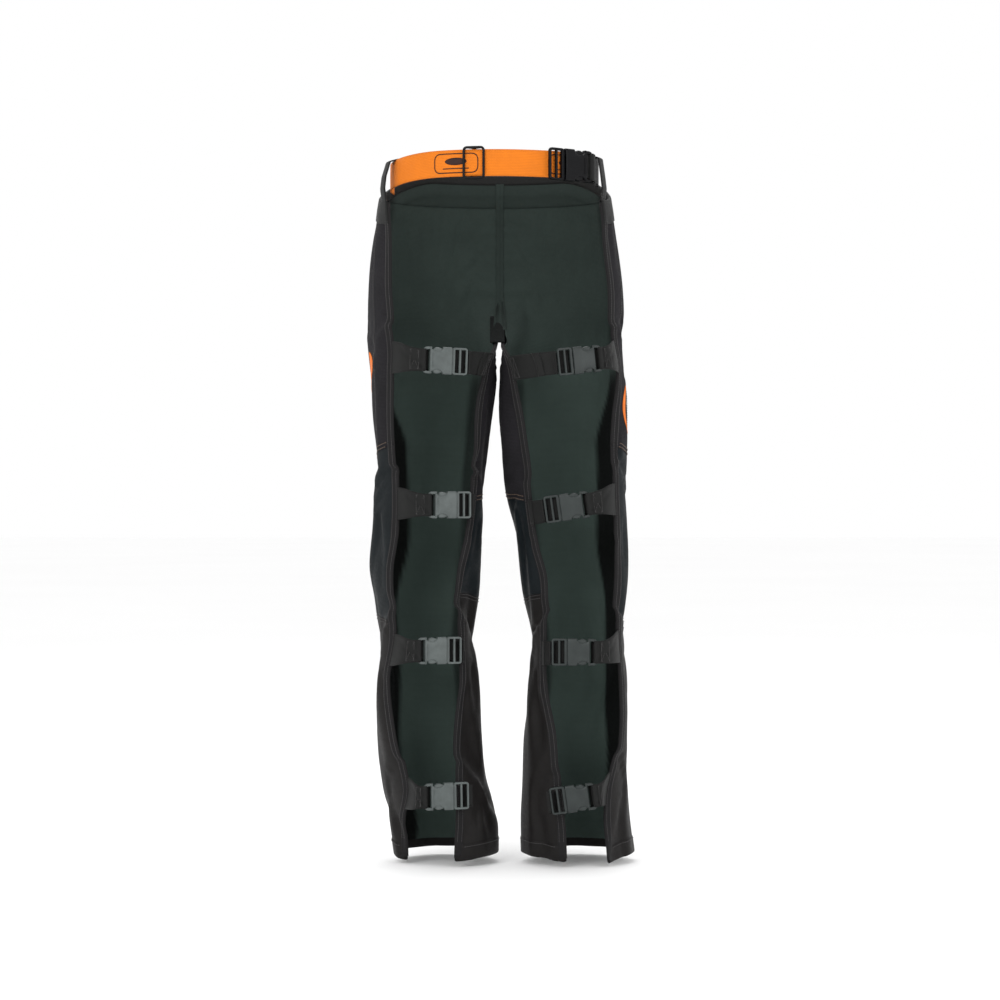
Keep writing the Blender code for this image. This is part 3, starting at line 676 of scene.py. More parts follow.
def moulded_finish(name, light, dark, rough, grain, scratches, gloss=0.35):
    """Injection-moulded acetal: a fine spark-eroded grain, soft flow patches, and scuffs a shade lighter."""
    made, tree, shader = new_finish(name, {"IOR": 1.48, "Specular IOR Level": gloss})
    where = add(tree, "ShaderNodeTexCoord")
    flow = add(tree, "ShaderNodeTexNoise", {"Vector": where.outputs["Object"], "Scale": 1 / 0.015, "Detail": 3.0})
    texture = add(tree, "ShaderNodeTexNoise", {"Vector": where.outputs["Object"], "Scale": 1 / grain,
                                               "Detail": 2.0, "Roughness": 0.7})
    scuff = add(tree, "ShaderNodeTexNoise", {"Vector": where.outputs["Object"], "Scale": 1 / 0.006, "Detail": 6.0,
                                             "Roughness": 0.8, "Distortion": 1.2})
    worn = add(tree, "ShaderNodeMapRange", {"Value": scuff.outputs["Fac"], "From Min": 0.52, "From Max": 0.75,
                                            "To Min": 0.0, "To Max": scratches})
    tone = add(tree, "ShaderNodeMath", {0: flow.outputs["Fac"], 1: worn.outputs["Result"]}, operation="ADD",
               use_clamp=True)
    ground = add(tree, "ShaderNodeMix", {0: tone.outputs[0], 6: tint(dark), 7: tint(light)}, data_type="RGBA")
    tree.links.new(ground.outputs[2], shader.inputs["Base Color"])
    matt = add(tree, "ShaderNodeMapRange", {"Value": scuff.outputs["Fac"], "To Min": rough - 0.07,
                                            "To Max": rough + 0.1})
    tree.links.new(matt.outputs["Result"], shader.inputs["Roughness"])
    relief = add(tree, "ShaderNodeBump", {"Height": texture.outputs["Fac"], "Distance": 0.00006, "Strength": 0.5})
    tree.links.new(relief.outputs["Normal"], shader.inputs["Normal"])
    return made


def thread_finish(name, light, dark):
    """Bonded polyester thread: tight twist lines across it, and a dull shine."""
    made, tree, shader = new_finish(name, {"Roughness": 0.55, "Sheen Weight": 0.15})
    where = add(tree, "ShaderNodeTexCoord")
    twist = add(tree, "ShaderNodeTexWave", {"Vector": where.outputs["Object"], "Scale": per_metre(0.6 * MM),
                                            "Distortion": 1.0}, wave_type="BANDS", bands_direction="DIAGONAL")
    ground = add(tree, "ShaderNodeMix", {0: twist.outputs["Fac"], 6: tint(dark), 7: tint(light)},
                 data_type="RGBA")
    tree.links.new(ground.outputs[2], shader.inputs["Base Color"])
    return made


FINISHES = {}


def chosen(name, depth):
    """A colour of the settings, and the same one at a share of its brightness for the hollows between threads."""
    colour = getattr(bpy.context.scene.chaps_colours, name)
    return (*colour, 1.0), (*(part * depth for part in colour), 1.0)


def finish(name):
    """A finish by its name, made on first use from the colours in the panel's settings."""
    if name not in FINISHES:
        FINISHES[name] = FINISH_MAKERS[name]()
    return FINISHES[name]


# Threads under 1 mm are too fine to show from across a room, so each weave below is drawn two to three times
# as coarse as the real one.
FINISH_MAKERS = {
    # 1000-denier textured polyamide: dry, dark charcoal with a violet cast, and a faint grid of threads.
    "cordura": lambda: weave_finish("woven_polyamide_charcoal", 1.7 * MM, *chosen("cloth", 0.28), 0.8, 0.25 * MM,
                                    0.04, 0.2, slack=0.4),
    # The knee patch: the same yarn, tighter and coated, so blue-black and a little slick.
    "knee": lambda: weave_finish("coated_polyamide_knee", 1.4 * MM, *chosen("knee", 0.36), 0.6, 0.18 * MM,
                                 0.02, 0.16, coat=0.03, slack=0.3),
    # Shin cloth: a satin polyester, brown-black, that shows soft highlights along its folds.
    "shin": lambda: weave_finish("satin_polyester_shin", 1.2 * MM, *chosen("shin", 0.3), 0.55, 0.15 * MM,
                                 0.05, 0.22, coat=0.04, slack=0.4),
    # Lining: a knitted tricot in spruce green-grey, with painted shade in near black at the sides of the leg, at the
    # hips and over the seat, where shadow falls inside the legs.
    "lining": lambda: weave_finish("knitted_tricot_lining", 1.5 * MM, *chosen("lining", 0.64), 0.85, 0.2 * MM,
                                   0.05, 0.06, slack=0.8, sides="#070a09"),
    # Padding: loose warp-knit high-modulus yarn, off-white.
    "padding": lambda: weave_finish("warp_knit_cut_padding", 3.0 * MM, "#d8d2bd", "#a8a18a", 0.9, 0.6 * MM,
                                    0.1, 0.06, slack=1.2),
    # Grosgrain binding: cross ribs, close to the cloth's own colour.
    "binding": lambda: ribbed_finish("grosgrain_binding", 1.6 * MM, "#201f20", "#0f0e0f", 0.75, 0.2 * MM,
                                     sheen=0.04),
    # Polyester webbing, spun black with a brown cast.
    "webbing": lambda: ribbed_finish("polyester_webbing", 2.0 * MM, *chosen("webbing", 0.25), 0.6, 0.3 * MM,
                                     sheen=0.05),
    # Covered elastic: matt orange yarn drawn into fine lengthwise ribs.
    "elastic": lambda: ribbed_finish("orange_woven_elastic", 2.2 * MM, *chosen("belt", 0.68), 0.75, 0.25 * MM,
                                     across="X", sheen=0.08),
    # Rubber print: matt orange, slightly cracked.
    "flash": lambda: moulded_finish("orange_rubber_print", "#ee7c19", "#c45c0c", 0.6, 0.6 * MM, 0.3),
    # Screen print on the elastic: thin ink, so dark with a red-brown edge.
    "badge": lambda: moulded_finish("dark_screen_print", "#35120a", "#1c0a05", 0.65, 0.5 * MM, 0.2),
    # Acetal, moulded mid grey: satin, with a fine spark-eroded grain. For the left leg's buckles this is the lit
    # copy, lighter with painted light.
    "grey_acetal": lambda: moulded_finish("moulded_acetal_grey", *chosen("buckles", 0.42), 0.4, 0.7 * MM, 0.35),
    # The same acetal, darker with painted shade: the shaded copy for the right leg's buckles.
    "shaded_acetal": lambda: moulded_finish("moulded_acetal_slate", "#2f3534", "#1b2020", 0.4, 0.7 * MM, 0.35),
    # Acetal, moulded black: the same grain, with pale scuffs.
    "black_acetal": lambda: moulded_finish("moulded_acetal_black", "#0b0b0e", "#030304", 0.4, 0.7 * MM, 0.3, 0.15),
    # Bonded threads, one to match the cloth and one in contrast.
    "dark_thread": lambda: thread_finish("bonded_thread_grey", "#373536", "#1f1e1e"),
    "tan_thread": lambda: thread_finish("bonded_thread_tan", "#6a543e", "#43352a"),
}


# ---- placing baked into meshes ------------------------------------------------------------------
def follow_hip(made, side):
    """Bake a piece's placing into its mesh; the piece is not bent."""
    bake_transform(made)


def follow_knee(made, side):
    """Bake a piece's placing into its mesh; the piece is not bent."""
    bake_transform(made)


# ---- panels -------------------------------------------------------------------------------------
def lining_depth(side, u, z):
    """Depth of the lining: full over the padding, shallow at the bound edges, grooved round the padding's edge and
    along the yoke seam."""
    far = edge_distance(side, u, z)
    rise = smooth(6 * MM, PADDING_INSET, far)
    groove = 1.1 * MM * np.exp(-((far - PADDING_INSET - 4 * MM) / (3 * MM))**2)
    yoke = 1.3 * MM * np.exp(-((z - 0.934) / (2.5 * MM))**2)
    return LINING_EDGE + (LINING_DEPTH - LINING_EDGE) * rise - groove - yoke


def hang(side, low, high):
    """Work out a panel piece's flat cut size and area, which are not kept."""
    flat, area = cut_size(side, low, high)


def make_outer_cloth():
    """Three cloths a side: from the waist to the knee seam, the knee patch, and the shin, each tucked under the
    one above along a lapped seam."""
    u = np.linspace(0, 1, 73)[None, :]
    for name, side in SIDES.items():
        def under(top):
            return lambda u, z: (SHELL_THICK + 0.3 * MM) * smooth(-3 * MM, 3 * MM, z - top(u))
        parts = [
            ("upper_cloth", knee_seam, yoke_top, 84, 0.0, "cordura", follow_hip,
             [f"{name}_thigh_shell"] + (["waist_shell"] if side < 0 else [])),
            ("knee_cloth", shin_seam, lambda u: knee_seam(u) + SEAM_LAP, 44, under(knee_seam), "knee",
             follow_knee, []),
            ("shin_cloth", hem_line, lambda u: shin_seam(u) + SEAM_LAP, 72, under(shin_seam), "shin",
             follow_knee, [f"{name}_shin_shell"]),
        ]
        for label, low, high, rows, depth, look, follow, replaced in parts:
            points, uv, us, zs = stretch(side, u, low, high, rows, depth)
            made = piece(f"{name}_{label}", [open_grid(points, uv, panel_normal(side, us, zs))], finish(look),
                         SHELL_THICK, replaces=replaced)
            follow(made, side)
            hang(side, low, high)


def painted_lining_shade(side, u, z):
    """How much painted shade the lining gets, 0 to 1: painted shadow outside a line up the outer front of the leg and
    beside the inner edge, painted shadow at both sides of the hips, and thin painted shade over the whole seat."""
    # Every part of this mask is painted shade: near-black where shadow falls inside the legs.
    _, _, _, _, inner, outer = leg_section(side, z)
    turn = np.degrees(-inner + u * (inner + outer))
    calf = smooth(0.46, 0.32, z)
    line = (28 + 13 * calf if side < 0 else 37 + 11 * calf) + 34 * smooth(0.60, 0.71, z) - 3 * np.sin(30 * z)
    leg = smooth(line - 3, line + 3, turn) * smooth(0.74, 0.69, z)
    inner_line = smooth(-34, -44, turn) * smooth(0.74, 0.69, z)
    hips = smooth(0.62, 0.74, u) * smooth(0.70, 0.78, z) * 0.8
    seat = 0.52 * smooth(0.66, 0.80, z)
    return np.maximum(np.maximum(leg, 0.7 * inner_line), np.maximum(hips, seat))


def make_lining():
    """The lining of each half in two stretches, joined behind the second straps; a facing inside the yoke's top, a
    little darker with painted shade; and a small near-black patch over the fork, painted shade where shadow falls
    between the legs."""
    u = np.linspace(0, 1, 65)[None, :]
    for name, side in SIDES.items():
        parts = [("upper_lining", lambda u: LINING_JOIN + 0 * u, yoke_top, 84, follow_hip,
                  [f"{name}_thigh_lining"] + (["waist_lining"] if side < 0 else [])),
                 ("lower_lining", lambda u: hem_line(u) + MM, lambda u: LINING_JOIN + 0.5 * MM + 0 * u, 78,
                  follow_knee, [f"{name}_shin_lining"])]
        for label, low, high, rows, follow, replaced in parts:
            points, uv, us, zs = stretch(side, u, low, high, rows, lambda u, z: lining_depth(side, u, z))
            made = piece(f"{name}_{label}", [open_grid(points, uv, panel_normal(side, us, zs))],
                         finish("lining"), LINING_THICK, replaces=replaced,
                         shade=painted_lining_shade(side, us, zs))
            follow(made, side)
            hang(side, low, high)
        points, uv, us, zs = stretch(side, np.linspace(0, 0.86, 49)[None, :], lambda u: 0.962 + 0 * u,
                                     lambda u: np.maximum(yoke_top(u) - 9 * MM, 0.963), 12,
                                     lambda u, z: lining_depth(side, u, z) + 0.9 * MM)
        # The facing gets the lining's painted shade and 0.14 more, as painted shade where it faces up into the light.
        made = piece(f"{name}_yoke_facing", [open_grid(points, uv, panel_normal(side, us, zs))],
                     finish("lining"), LINING_THICK,
                     shade=np.minimum(painted_lining_shade(side, us, zs) + 0.14, 1))
        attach(made, "waist")
    # A near-black patch over the fork, fully shaded: painted shade that stands in for the shadow between the legs.
    z = np.linspace(0.752, 0.796, 19)[:, None]
    face = np.minimum(cloth_point(-1, 0.0, z, LINING_DEPTH), cloth_point(1, 0.0, z, LINING_DEPTH))[..., 1]
    e = np.linspace(-1, 1, 15)[None, :]
    points = grid_of(e * 10.5 * MM + HIPS_X + SHIFT[0] - 1 * MM, face - 6.5 * MM + 2 * MM * e**2, z + SHIFT[2])
    uv = points[..., (0, 2)]
    made = piece("crotch_gusset", [open_grid(points, uv, (0, 1, 0))], finish("lining"), 0.7 * MM,
                 shade=np.ones(points.shape[:2]))
    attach(made, "waist")


def hip_crease(side, u):
    """Height of the crease's upper edge, which climbs by half of the way out from the front seam."""
    return CREASE_Z + 0.5 * np.abs(panel_face(side, u, 0.83 + 0 * u)[..., 0] - HIPS_X)


def make_padding():
    """The cut-resistant padding between cloth and lining, quilted in upright channels. It is left out where the hip
    folds, so that it can't work through the cloth."""
    for name, side in SIDES.items():
        parts = [("yoke_padding", lambda u: hip_crease(side, u) + 3 * MM, lambda u: yoke_top(u) - 36 * MM, 48,
                  follow_hip, ["waist_pad"] if side < 0 else []),
                 ("thigh_padding", lambda u: knee_seam(u) + 2 * MM, lambda u: hip_crease(side, u) - CREASE_BAND, 60,
                  follow_hip, [f"{name}_thigh_pad"]),
                 ("lower_padding", lambda u: hem_line(u) + 36 * MM, lambda u: knee_seam(u) - 2 * MM, 84,
                  follow_knee, [f"{name}_shin_pad"])]
        for label, low, high, rows, follow, replaced in parts:
            u = np.linspace(PADDING_MARGIN, 1 - PADDING_MARGIN, 57)[None, :]
            front, uv, us, zs = stretch(side, u, low, high, rows,
                                        lambda u, z: PADDING_DEPTH + 0.25 * MM * np.sin(u * 2 * math.pi * 14)**2)
            made = piece(f"{name}_{label}", [open_grid(front, uv, panel_normal(side, us, zs))],
                         finish("padding"), PADDING_SHEET, replaces=replaced)
            follow(made, side)


BINDING_PROFILE = [(11.0, -0.3), (10.6, -0.75), (8.0, -0.85), (4.0, -0.85), (1.0, -0.8), (-0.3, -0.4), (-1.0, 0.5),
                   (-1.2, 1.5), (-0.9, 2.6), (-0.1, 3.5), (1.2, 3.8), (5.0, 3.8), (9.0, 3.7), (11.0, 3.2)]


FACE = np.s_[:, :5]    # the columns of a folded tape that lie on the cloth's face


def bound_edge(side, edge, z):
    """A tape folded over a back edge: a U of points, in from the edge and down through the cloth, carried up it."""
    inset, depth = (np.array(column) * MM for column in zip(*BINDING_PROFILE))
    z = z[:, None] * np.ones_like(inset)
    u = edge_step(side, edge, z, inset[None, :])
    points = cloth_point(side, u, z, depth[None, :])
    far = path_lengths(np.stack((inset, depth, 0 * depth), -1))
    return points, grid_of(far[None, :], z), panel_normal(side, u, z)


def make_tapes():
    """Bindings up the back edges, hem bands, the waistband and the seam tape down the front."""
    for name, side in SIDES.items():
        outer_low = np.linspace(float(hem_line(1.0)) + 4 * MM, float(knee_seam(1.0)), 90)
        outer_high = np.linspace(float(knee_seam(1.0)), float(yoke_top(1.0)) - 2 * MM, 60)
        inner_low = np.linspace(float(hem_line(0.0)) + 4 * MM, float(knee_seam(0.0)), 80)
        inner_high = np.linspace(float(knee_seam(0.0)), 0.766, 60)
        for label, outer, inner, follow in (("upper_binding", outer_high, inner_high, follow_hip),
                                            ("lower_binding", outer_low, inner_low, follow_knee)):
            shapes = []
            for edge, z in ((1, outer), (0, inner)):
                points, uv, out = bound_edge(side, edge, z)
                shapes.append(folded_grid(points, uv, FACE, out[FACE]))
            made = piece(f"{name}_{label}", shapes, finish("binding"), 0.7 * MM)
            follow(made, side)
        tall = bpy.context.scene.chaps_trim.hem / MM
        profile = np.array([(tall, -0.3), (tall - 0.4, -0.75), (tall - 4, -0.8), (9, -0.8), (1.5, -0.8), (-0.3, -0.3),
                            (-1.1, 0.9), (-1.1, 2.2), (-0.4, 3.3), (1.5, 3.8), (9, 3.8), (tall - 4, 3.6),
                            (tall, 3.0)]) * MM
        u = np.linspace(0.006, 0.994, 97)[:, None]
        z = hem_line(u) + profile[None, :, 0]
        us = np.broadcast_to(u, z.shape)
        points = cloth_point(side, us, z, np.broadcast_to(profile[None, :, 1], z.shape))
        band = folded_grid(points, np.stack((us * 0.42, z), -1), FACE, panel_normal(side, us, z)[FACE])
        made = piece(f"{name}_hem_band", [band], finish("shin"), 0.8 * MM)
        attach(made, f"{name}_shin")
    make_waistband()
    make_front_seam()


def make_waistband():
    """The webbing folded over the yoke's top, from the left back corner round the front to the right one."""
    profile = np.array([(-30, -0.4), (-29.4, -1.5), (-15, -1.9), (-2, -1.9), (1.4, -1.6), (3.2, -0.4), (3.8, 1.2),
                        (3.0, 2.8), (1.0, 3.6), (-3, 3.9), (-7, 4.2), (-11, 4.6)]) * MM
    halves = []
    for side, shares in ((-1, np.linspace(1, 0.0, 60)), (1, np.linspace(0.0, 1, 60))):
        u = shares[:, None] * np.ones(len(profile))
        z = yoke_top(u) + profile[None, :, 0]
        halves.append(cloth_point(side, u, z, np.broadcast_to(profile[None, :, 1], z.shape)))
    points = np.concatenate(halves)
    far = path_lengths(points[:, 3])
    front = np.s_[50:70, :4]
    shape = folded_grid(points, grid_of(path_lengths(profile)[None, :], far[:, None]), front, (0, 1.0, 0))
    made = piece("waistband_web", [shape], finish("webbing"), 1.2 * MM, replaces=["waistband"])
    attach(made, "waist")


def front_strip(across, z, depth):
    """Points across the fly: each lies where the hip ellipse is that far round from the front."""
    shapes = []
    left_wide, right_wide, _, left, right = between(HIPS, z)
    for offset in across:
        side = -1 if offset < 0 else 1
        reach = np.radians(left) * left_wide * MM if side < 0 else np.radians(right) * right_wide * MM
        narrow = 1 - 0.4 * smooth(0.84, 0.775, z)
        u = (abs(offset) * narrow / reach)**(1 / HIPS_SPREAD)
        shapes.append(cloth_point(side, u, z, depth))
    return np.stack(shapes, 1)


def make_front_seam():
    """A tape outside and inside over the seam where the two halves meet, from the crotch to the waistband."""
    z = np.linspace(0.770, YOKE_TOP_Z - 9 * MM, 70)
    across = np.array((-8.5, -6, -3, -0.2, 0.2, 3, 6, 8.5)) * MM
    inner = lining_depth(1, 0.02, z) + 1.3 * MM + 1.0 * MM * smooth(0.955, 0.965, z)
    outer = -0.9 * MM + 1.9 * MM * smooth(0.978, 0.984, z)
    # The inner tape takes 0.62 painted shade from the lining finish's shade mix, so it is darker as painted shade.
    # The outer tape's finish does not read it.
    for label, depth, look, thick in (("outer", outer, "cordura", 0.7 * MM), ("inner", inner, "lining", 0.4 * MM)):
        points = front_strip(across * (1 if label == "outer" else 0.6), z, depth)
        uv = grid_of(across[None, :], z[:, None])
        made = piece(f"front_seam_tape_{label}", [open_grid(points, uv, (0, 1, 0))], finish(look), thick,
                     shade=np.full(points.shape[:2], 0.62))
        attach(made, "waist")


# Thigh flashes: u and z of both ends, widest width (mm), and how far the middle bows in u.
FLASHES = {"left": ((0.800, 0.742), (0.780, 0.676), 26.0, 0.020),
           "right": ((0.925, 0.690), (0.895, 0.622), 9.0, 0.030)}


def make_flashes():
    """A printed crescent on each outer thigh: a middle line that bows backwards, and a width that swells and
    dies away again."""
    for name, side in SIDES.items():
        (u0, z0), (u1, z1), wide, bow = FLASHES[name]
        t = np.linspace(0, 1, 40)[:, None]
        v = np.linspace(-0.5, 0.5, 7)[None, :]
        swell = wide * MM * np.sin(math.pi * t)**0.8 + 0.4 * MM
        middle = u0 + (u1 - u0) * t + bow * np.sin(math.pi * t)
        u = middle + v * swell / 0.40
        z = z0 + (z1 - z0) * t + v * swell * 0.6
        points = cloth_point(side, u, z, -0.55 * MM)
        uv = grid_of(v * swell, t * 0.08)
        made = piece(f"{name}_thigh_flash", [open_grid(points, uv, panel_normal(side, u, z))], finish("flash"),
                     0.4 * MM)
        follow_hip(made, side)


def edge_row(side, edge, inset, z):
    """A stitch row along a back edge."""
    u = edge_step(side, edge, z, inset)
    return seam_path(side, u, z, -1.0 * MM if inset < TAPE_WIDE else -0.25 * MM)


def make_stitching():
    """Rows of stitches on the cloth: two on each binding, tan pairs along the slanted seams, one over the hem, a
    pair beside the front seam, and one that closes each side seam."""
    across = np.linspace(0.035, 0.965, 120)
    for name, side in SIDES.items():
        low_outer = np.linspace(0.035, float(knee_seam(1.0)), 160)
        low_inner = np.linspace(0.035, float(knee_seam(0.0)), 140)
        high_outer = np.linspace(float(knee_seam(1.0)), 0.965, 110)
        high_inner = np.linspace(float(knee_seam(0.0)), 0.760, 80)
        upper, lower = ([edge_row(side, edge, inset, z) for edge, z in edges for inset in BINDING_ROWS]
                        for edges in (((1, high_outer), (0, high_inner)), ((1, low_outer), (0, low_inner))))
        lower.append(seam_path(side, across, hem_line(across) + bpy.context.scene.chaps_trim.hem - 3 * MM,
                               -1.0 * MM))
        side_seam = np.linspace(0.625, 0.93, 90)
        upper += [seam_path(side, 0.905 - 0.02 * smooth(0.62, 0.75, side_seam) + gap, side_seam, -0.2 * MM)
                  for gap in (0.0, 0.010)]
        made = sewing(f"{name}_upper_stitching", upper, finish("dark_thread"))
        follow_hip(made, side)
        made = sewing(f"{name}_lower_stitching", lower, finish("dark_thread"))
        follow_knee(made, side)
        seams = [seam_path(side, across, knee_seam(across) + up, -0.2 * MM) for up in (2.0 * MM, 7.4 * MM)]
        made = sewing(f"{name}_knee_seam_stitching", seams, finish("tan_thread"), 1.25)
        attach(made, f"{name}_thigh")
        seams = [seam_path(side, across, shin_seam(across) + up, -0.2 * MM) for up in (-2.0 * MM, -6.5 * MM)]
        made = sewing(f"{name}_shin_seam_stitching", seams, finish("dark_thread"))
        follow_knee(made, side)
    z = np.linspace(0.775, YOKE_TOP_Z - 32 * MM, 80)
    rows = []
    for offset in (-6 * MM, 6 * MM):
        strip = front_strip(np.array((offset, offset + 0.1 * MM)), z, -1.0 * MM)[:, 0]
        rows.append((strip, np.broadcast_to((0.0, 1.0, 0.0), strip.shape)))
    made = sewing("front_seam_stitching", rows, finish("dark_thread"))
    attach(made, "waist")


# ---- straps -------------------------------------------------------------------------------------
def buckle_axes(side, x, z, rise, stand_off):
    """A leg buckle's middle, its axes as columns (along, through, up) and the way out of the leg."""
    middle, y, wide, deep, _, _ = (float(v) for v in leg_section(side, z))
    across = (x - middle) / (wide + stand_off)
    depth = math.sqrt(1 - across**2)
    place = np.array((x, y - (deep + stand_off) * depth, z))
    out = unit(np.array((across / (wide + stand_off), -depth / (deep + stand_off), 0.0)))
    lean = math.radians(rise)
    level = np.array((-out[1], out[0], 0.0)) * -side
    along = level * math.cos(lean) - np.array((0, 0, 1.0)) * math.sin(lean)
    up = np.cross(along, -out)
    if up[2] < 0:
        up = -up
    through = np.cross(up, along)
    return place + SHIFT, np.stack((along, through, up), 1), out


def each_strap():
    """Every closing strap: its side, label, body and sewn heights, and its buckle's middle, axes and way out."""
    for name, side in SIDES.items():
        for number, (x, z, rise, outer_z, inner_z, stand_off) in enumerate(STRAPS[name], 1):
            middle, axes, out = buckle_axes(side, x * MM, z * MM, rise, stand_off * MM)
            body = f"{name}_thigh" if number < 3 else f"{name}_shin"
            yield side, f"{name}_strap_{number}", body, outer_z * MM, inner_z * MM, middle, axes, out


def cubic(start, leave, end, arrive, count):
    """Points on cubics from start, leaving along leave, to end, arriving along arrive, as count + 1 rows."""
    t = np.linspace(0, 1, count + 1)[:, None, None]
    return (start * (1 - t)**3 + (start + leave) * 3 * t * (1 - t)**2
            + (end - arrive) * 3 * t**2 * (1 - t) + end * t**3)


def strap_surface(side, outer, root_z, stop, along, up, root_wide, tail_points):
    """A strap end as rows along it: sewn on the panel, off its back edge, in a cubic to its bar, and then through
    tail_points, each a place that the web's middle passes."""
    share = np.linspace(1, 0, 9)[:, None]
    edge = np.linspace(-0.5, 0.5, 11)[None, :]
    heights = root_z + edge * root_wide + 0 * share
    lies = edge_step(side, 1 if outer else 0, heights, SEAM_BITE * share)
    sewn = cloth_point(side, lies, heights, 0.9 * MM - 1.9 * MM * (1 - share)**2)
    before, last = sewn[-2], sewn[-1]
    end = stop + up * edge[0][:, None] * WEB_WIDTH
    pull = np.linalg.norm(end - last, axis=-1, keepdims=True) * 0.35
    leave = unit(last - before) * pull
    arrive = along * pull * (1 if outer else -1)
    rows = [sewn[:-1], cubic(last[None], leave[None], end[None], arrive[None], 16)]
    for point in tail_points:
        rows.append((point + up * edge[0][:, None] * WEB_WIDTH)[None])
    return np.concatenate(rows)


def slack(points, out, side, outer):
    """The set that a web keeps: one shallow lengthwise curl, and on the outer end a fold that runs across it."""
    rows, columns = points.shape[:2]
    s = np.linspace(0, 1, rows)[:, None]
    e = np.linspace(-0.5, 0.5, columns)[None, :]
    free = smooth(0.30, 0.45, s) * smooth(1.0, 0.86, s)
    curl = 0.9 * MM * np.cos(math.pi * e) * np.sin(math.pi * s * 2 + side)
    if outer:
        line = e - (0.55 - 1.9 * (s - 0.30))
        fold = -1.7 * MM * np.exp(-(line / 0.075)**2) + 1.1 * MM * np.exp(-((line - 0.20) / 0.12)**2)
        curl = curl * 0.5 + fold
    return points + out * (curl * free)[..., None]


def ribbon_uv(points):
    """A web's own map in metres: across it, and along its middle."""
    along = path_lengths(points[:, points.shape[1] // 2])
    across = path_lengths(points[0])
    return grid_of(across[None, :], along[:, None])


def box_stitch(points, out, first, last):
    """The path of a box with a cross, sewn on the rows first to last of a web."""
    left, right = 1, points.shape[1] - 2
    corners = [(first, left), (first, right), (last, right), (last, left), (first, left), (last, right),
               (last, left), (first, right)]
    path = np.array([points[j, i] for j, i in corners])
    dense = np.concatenate([path[k] + (path[k + 1] - path[k]) * np.linspace(0, 1, 12)[:, None]
                            for k in range(len(path) - 1)])
    return dense + out * 0.2 * MM, np.broadcast_to(out, dense.shape)


# How a strap's outer web goes over its socket's bar and into the slot: in from the buckle's end, and out, in mm.
OVER_BAR = ((-1.2, 3.4), (0.8, 4.8), (2.6, 4.9), (4.1, 3.6), (4.7, 1.2), (5.0, -1.6), (6.4, -3.2), (9.0, -3.6))


def make_straps():
    """Both webs of each closing strap, the folded tail of the inner one, and their box stitches."""
    for side, label, body, outer_z, inner_z, middle, axes, out in each_strap():
        along, up = axes[:, 0], axes[:, 2]
        stop = middle - along * (BUCKLE_LONG / 2 + 3.0 * MM) + out * 1.2 * MM
        over_bar = [middle - along * (BUCKLE_LONG / 2 - far * MM) + out * high * MM for far, high in OVER_BAR]
        points = slack(strap_surface(side, True, outer_z, stop, along, up, TAB_WIDTH, over_bar), out, side, True)
        web = piece(f"{label}_outer_webbing", [open_grid(points, ribbon_uv(points), out)], finish("webbing"),
                    WEB_THICK, replaces=[f"{label}_outer_web"])
        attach(web, body)
        stitch_rows = [box_stitch(points, panel_out(points, 22), 19, 23)]
        stop = middle + along * (BUCKLE_LONG / 2 - WEB_REACH) - out * (LADDER_THICK / 2 + 0.8 * MM)
        points = slack(strap_surface(side, False, inner_z, stop, along, up, WEB_WIDTH + 2 * MM, []), out, side,
                       False)
        shapes = [open_grid(points, ribbon_uv(points), out), *tail_shapes(points, middle, along, up, out)]
        web = piece(f"{label}_inner_webbing", shapes, finish("webbing"), WEB_THICK,
                    replaces=[f"{label}_inner_web"])
        follow_prong(web)
        stitch_rows.append(box_stitch(points, panel_out(points, 10), 9, 11))
        made = sewing(f"{label}_stitching", stitch_rows, finish("dark_thread"), gauge=0.8)
        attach(made, body)


def panel_out(points, row):
    """The way out of a web's face at one of its rows."""
    middle = points.shape[1] // 2
    normal = unit(np.cross(points[row, -1] - points[row, 0], points[row + 1, middle] - points[row - 1, middle]))
    centre = points[row, middle]
    return normal if normal @ (centre - leg_middle(centre)) > 0 else -normal


def leg_middle(point):
    """The middle of the leg that a point is nearest to."""
    side = -1 if point[0] < SHIFT[0] + HIPS_X else 1
    x, y, _, _, _, _ = (float(v) for v in leg_section(side, point[2] - SHIFT[2]))
    return np.array((x, y, point[2] - SHIFT[2])) + SHIFT


def follow_prong(made):
    """Bake the inner web's placing into its mesh; the web is not bent."""
    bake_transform(made)


def tail_shapes(points, middle, along, up, out):
    """The free tail: it comes up past the ladder's end bar, lies back on the web, and ends folded under twice."""
    rows = points[::-1]
    edge = np.linspace(-0.5, 0.5, points.shape[1])[:, None]
    bar_at = middle + along * (BUCKLE_LONG / 2)
    over = [bar_at + along * far * MM + out * high * MM + up * edge * (WEB_WIDTH - 1.5 * MM)
            for far, high in ((0.9, -2.0), (1.3, 0.4), (2.3, 1.6), (3.4, 1.9))]
    far = path_lengths(rows[:, points.shape[1] // 2])
    at = np.interp(np.linspace(24.5 * MM, min(52 * MM, far[-1] - 2 * MM), 12), far, np.arange(len(far)))
    before = np.minimum(at.astype(int), len(far) - 2)
    share = (at - before)[:, None, None]
    back = rows[before] * (1 - share) + rows[before + 1] * share + out * 2.1 * MM
    tail = np.concatenate((np.stack(over), back))
    end = back[-5:] + out * 1.75 * MM
    return [open_grid(tail, ribbon_uv(tail), out), open_grid(end, ribbon_uv(end), out)]


# ---- buckles ------------------------------------------------------------------------------------
THROUGH, UPWARDS = np.array((0.0, 1.0, 0.0)), np.array((0.0, 0.0, 1.0))


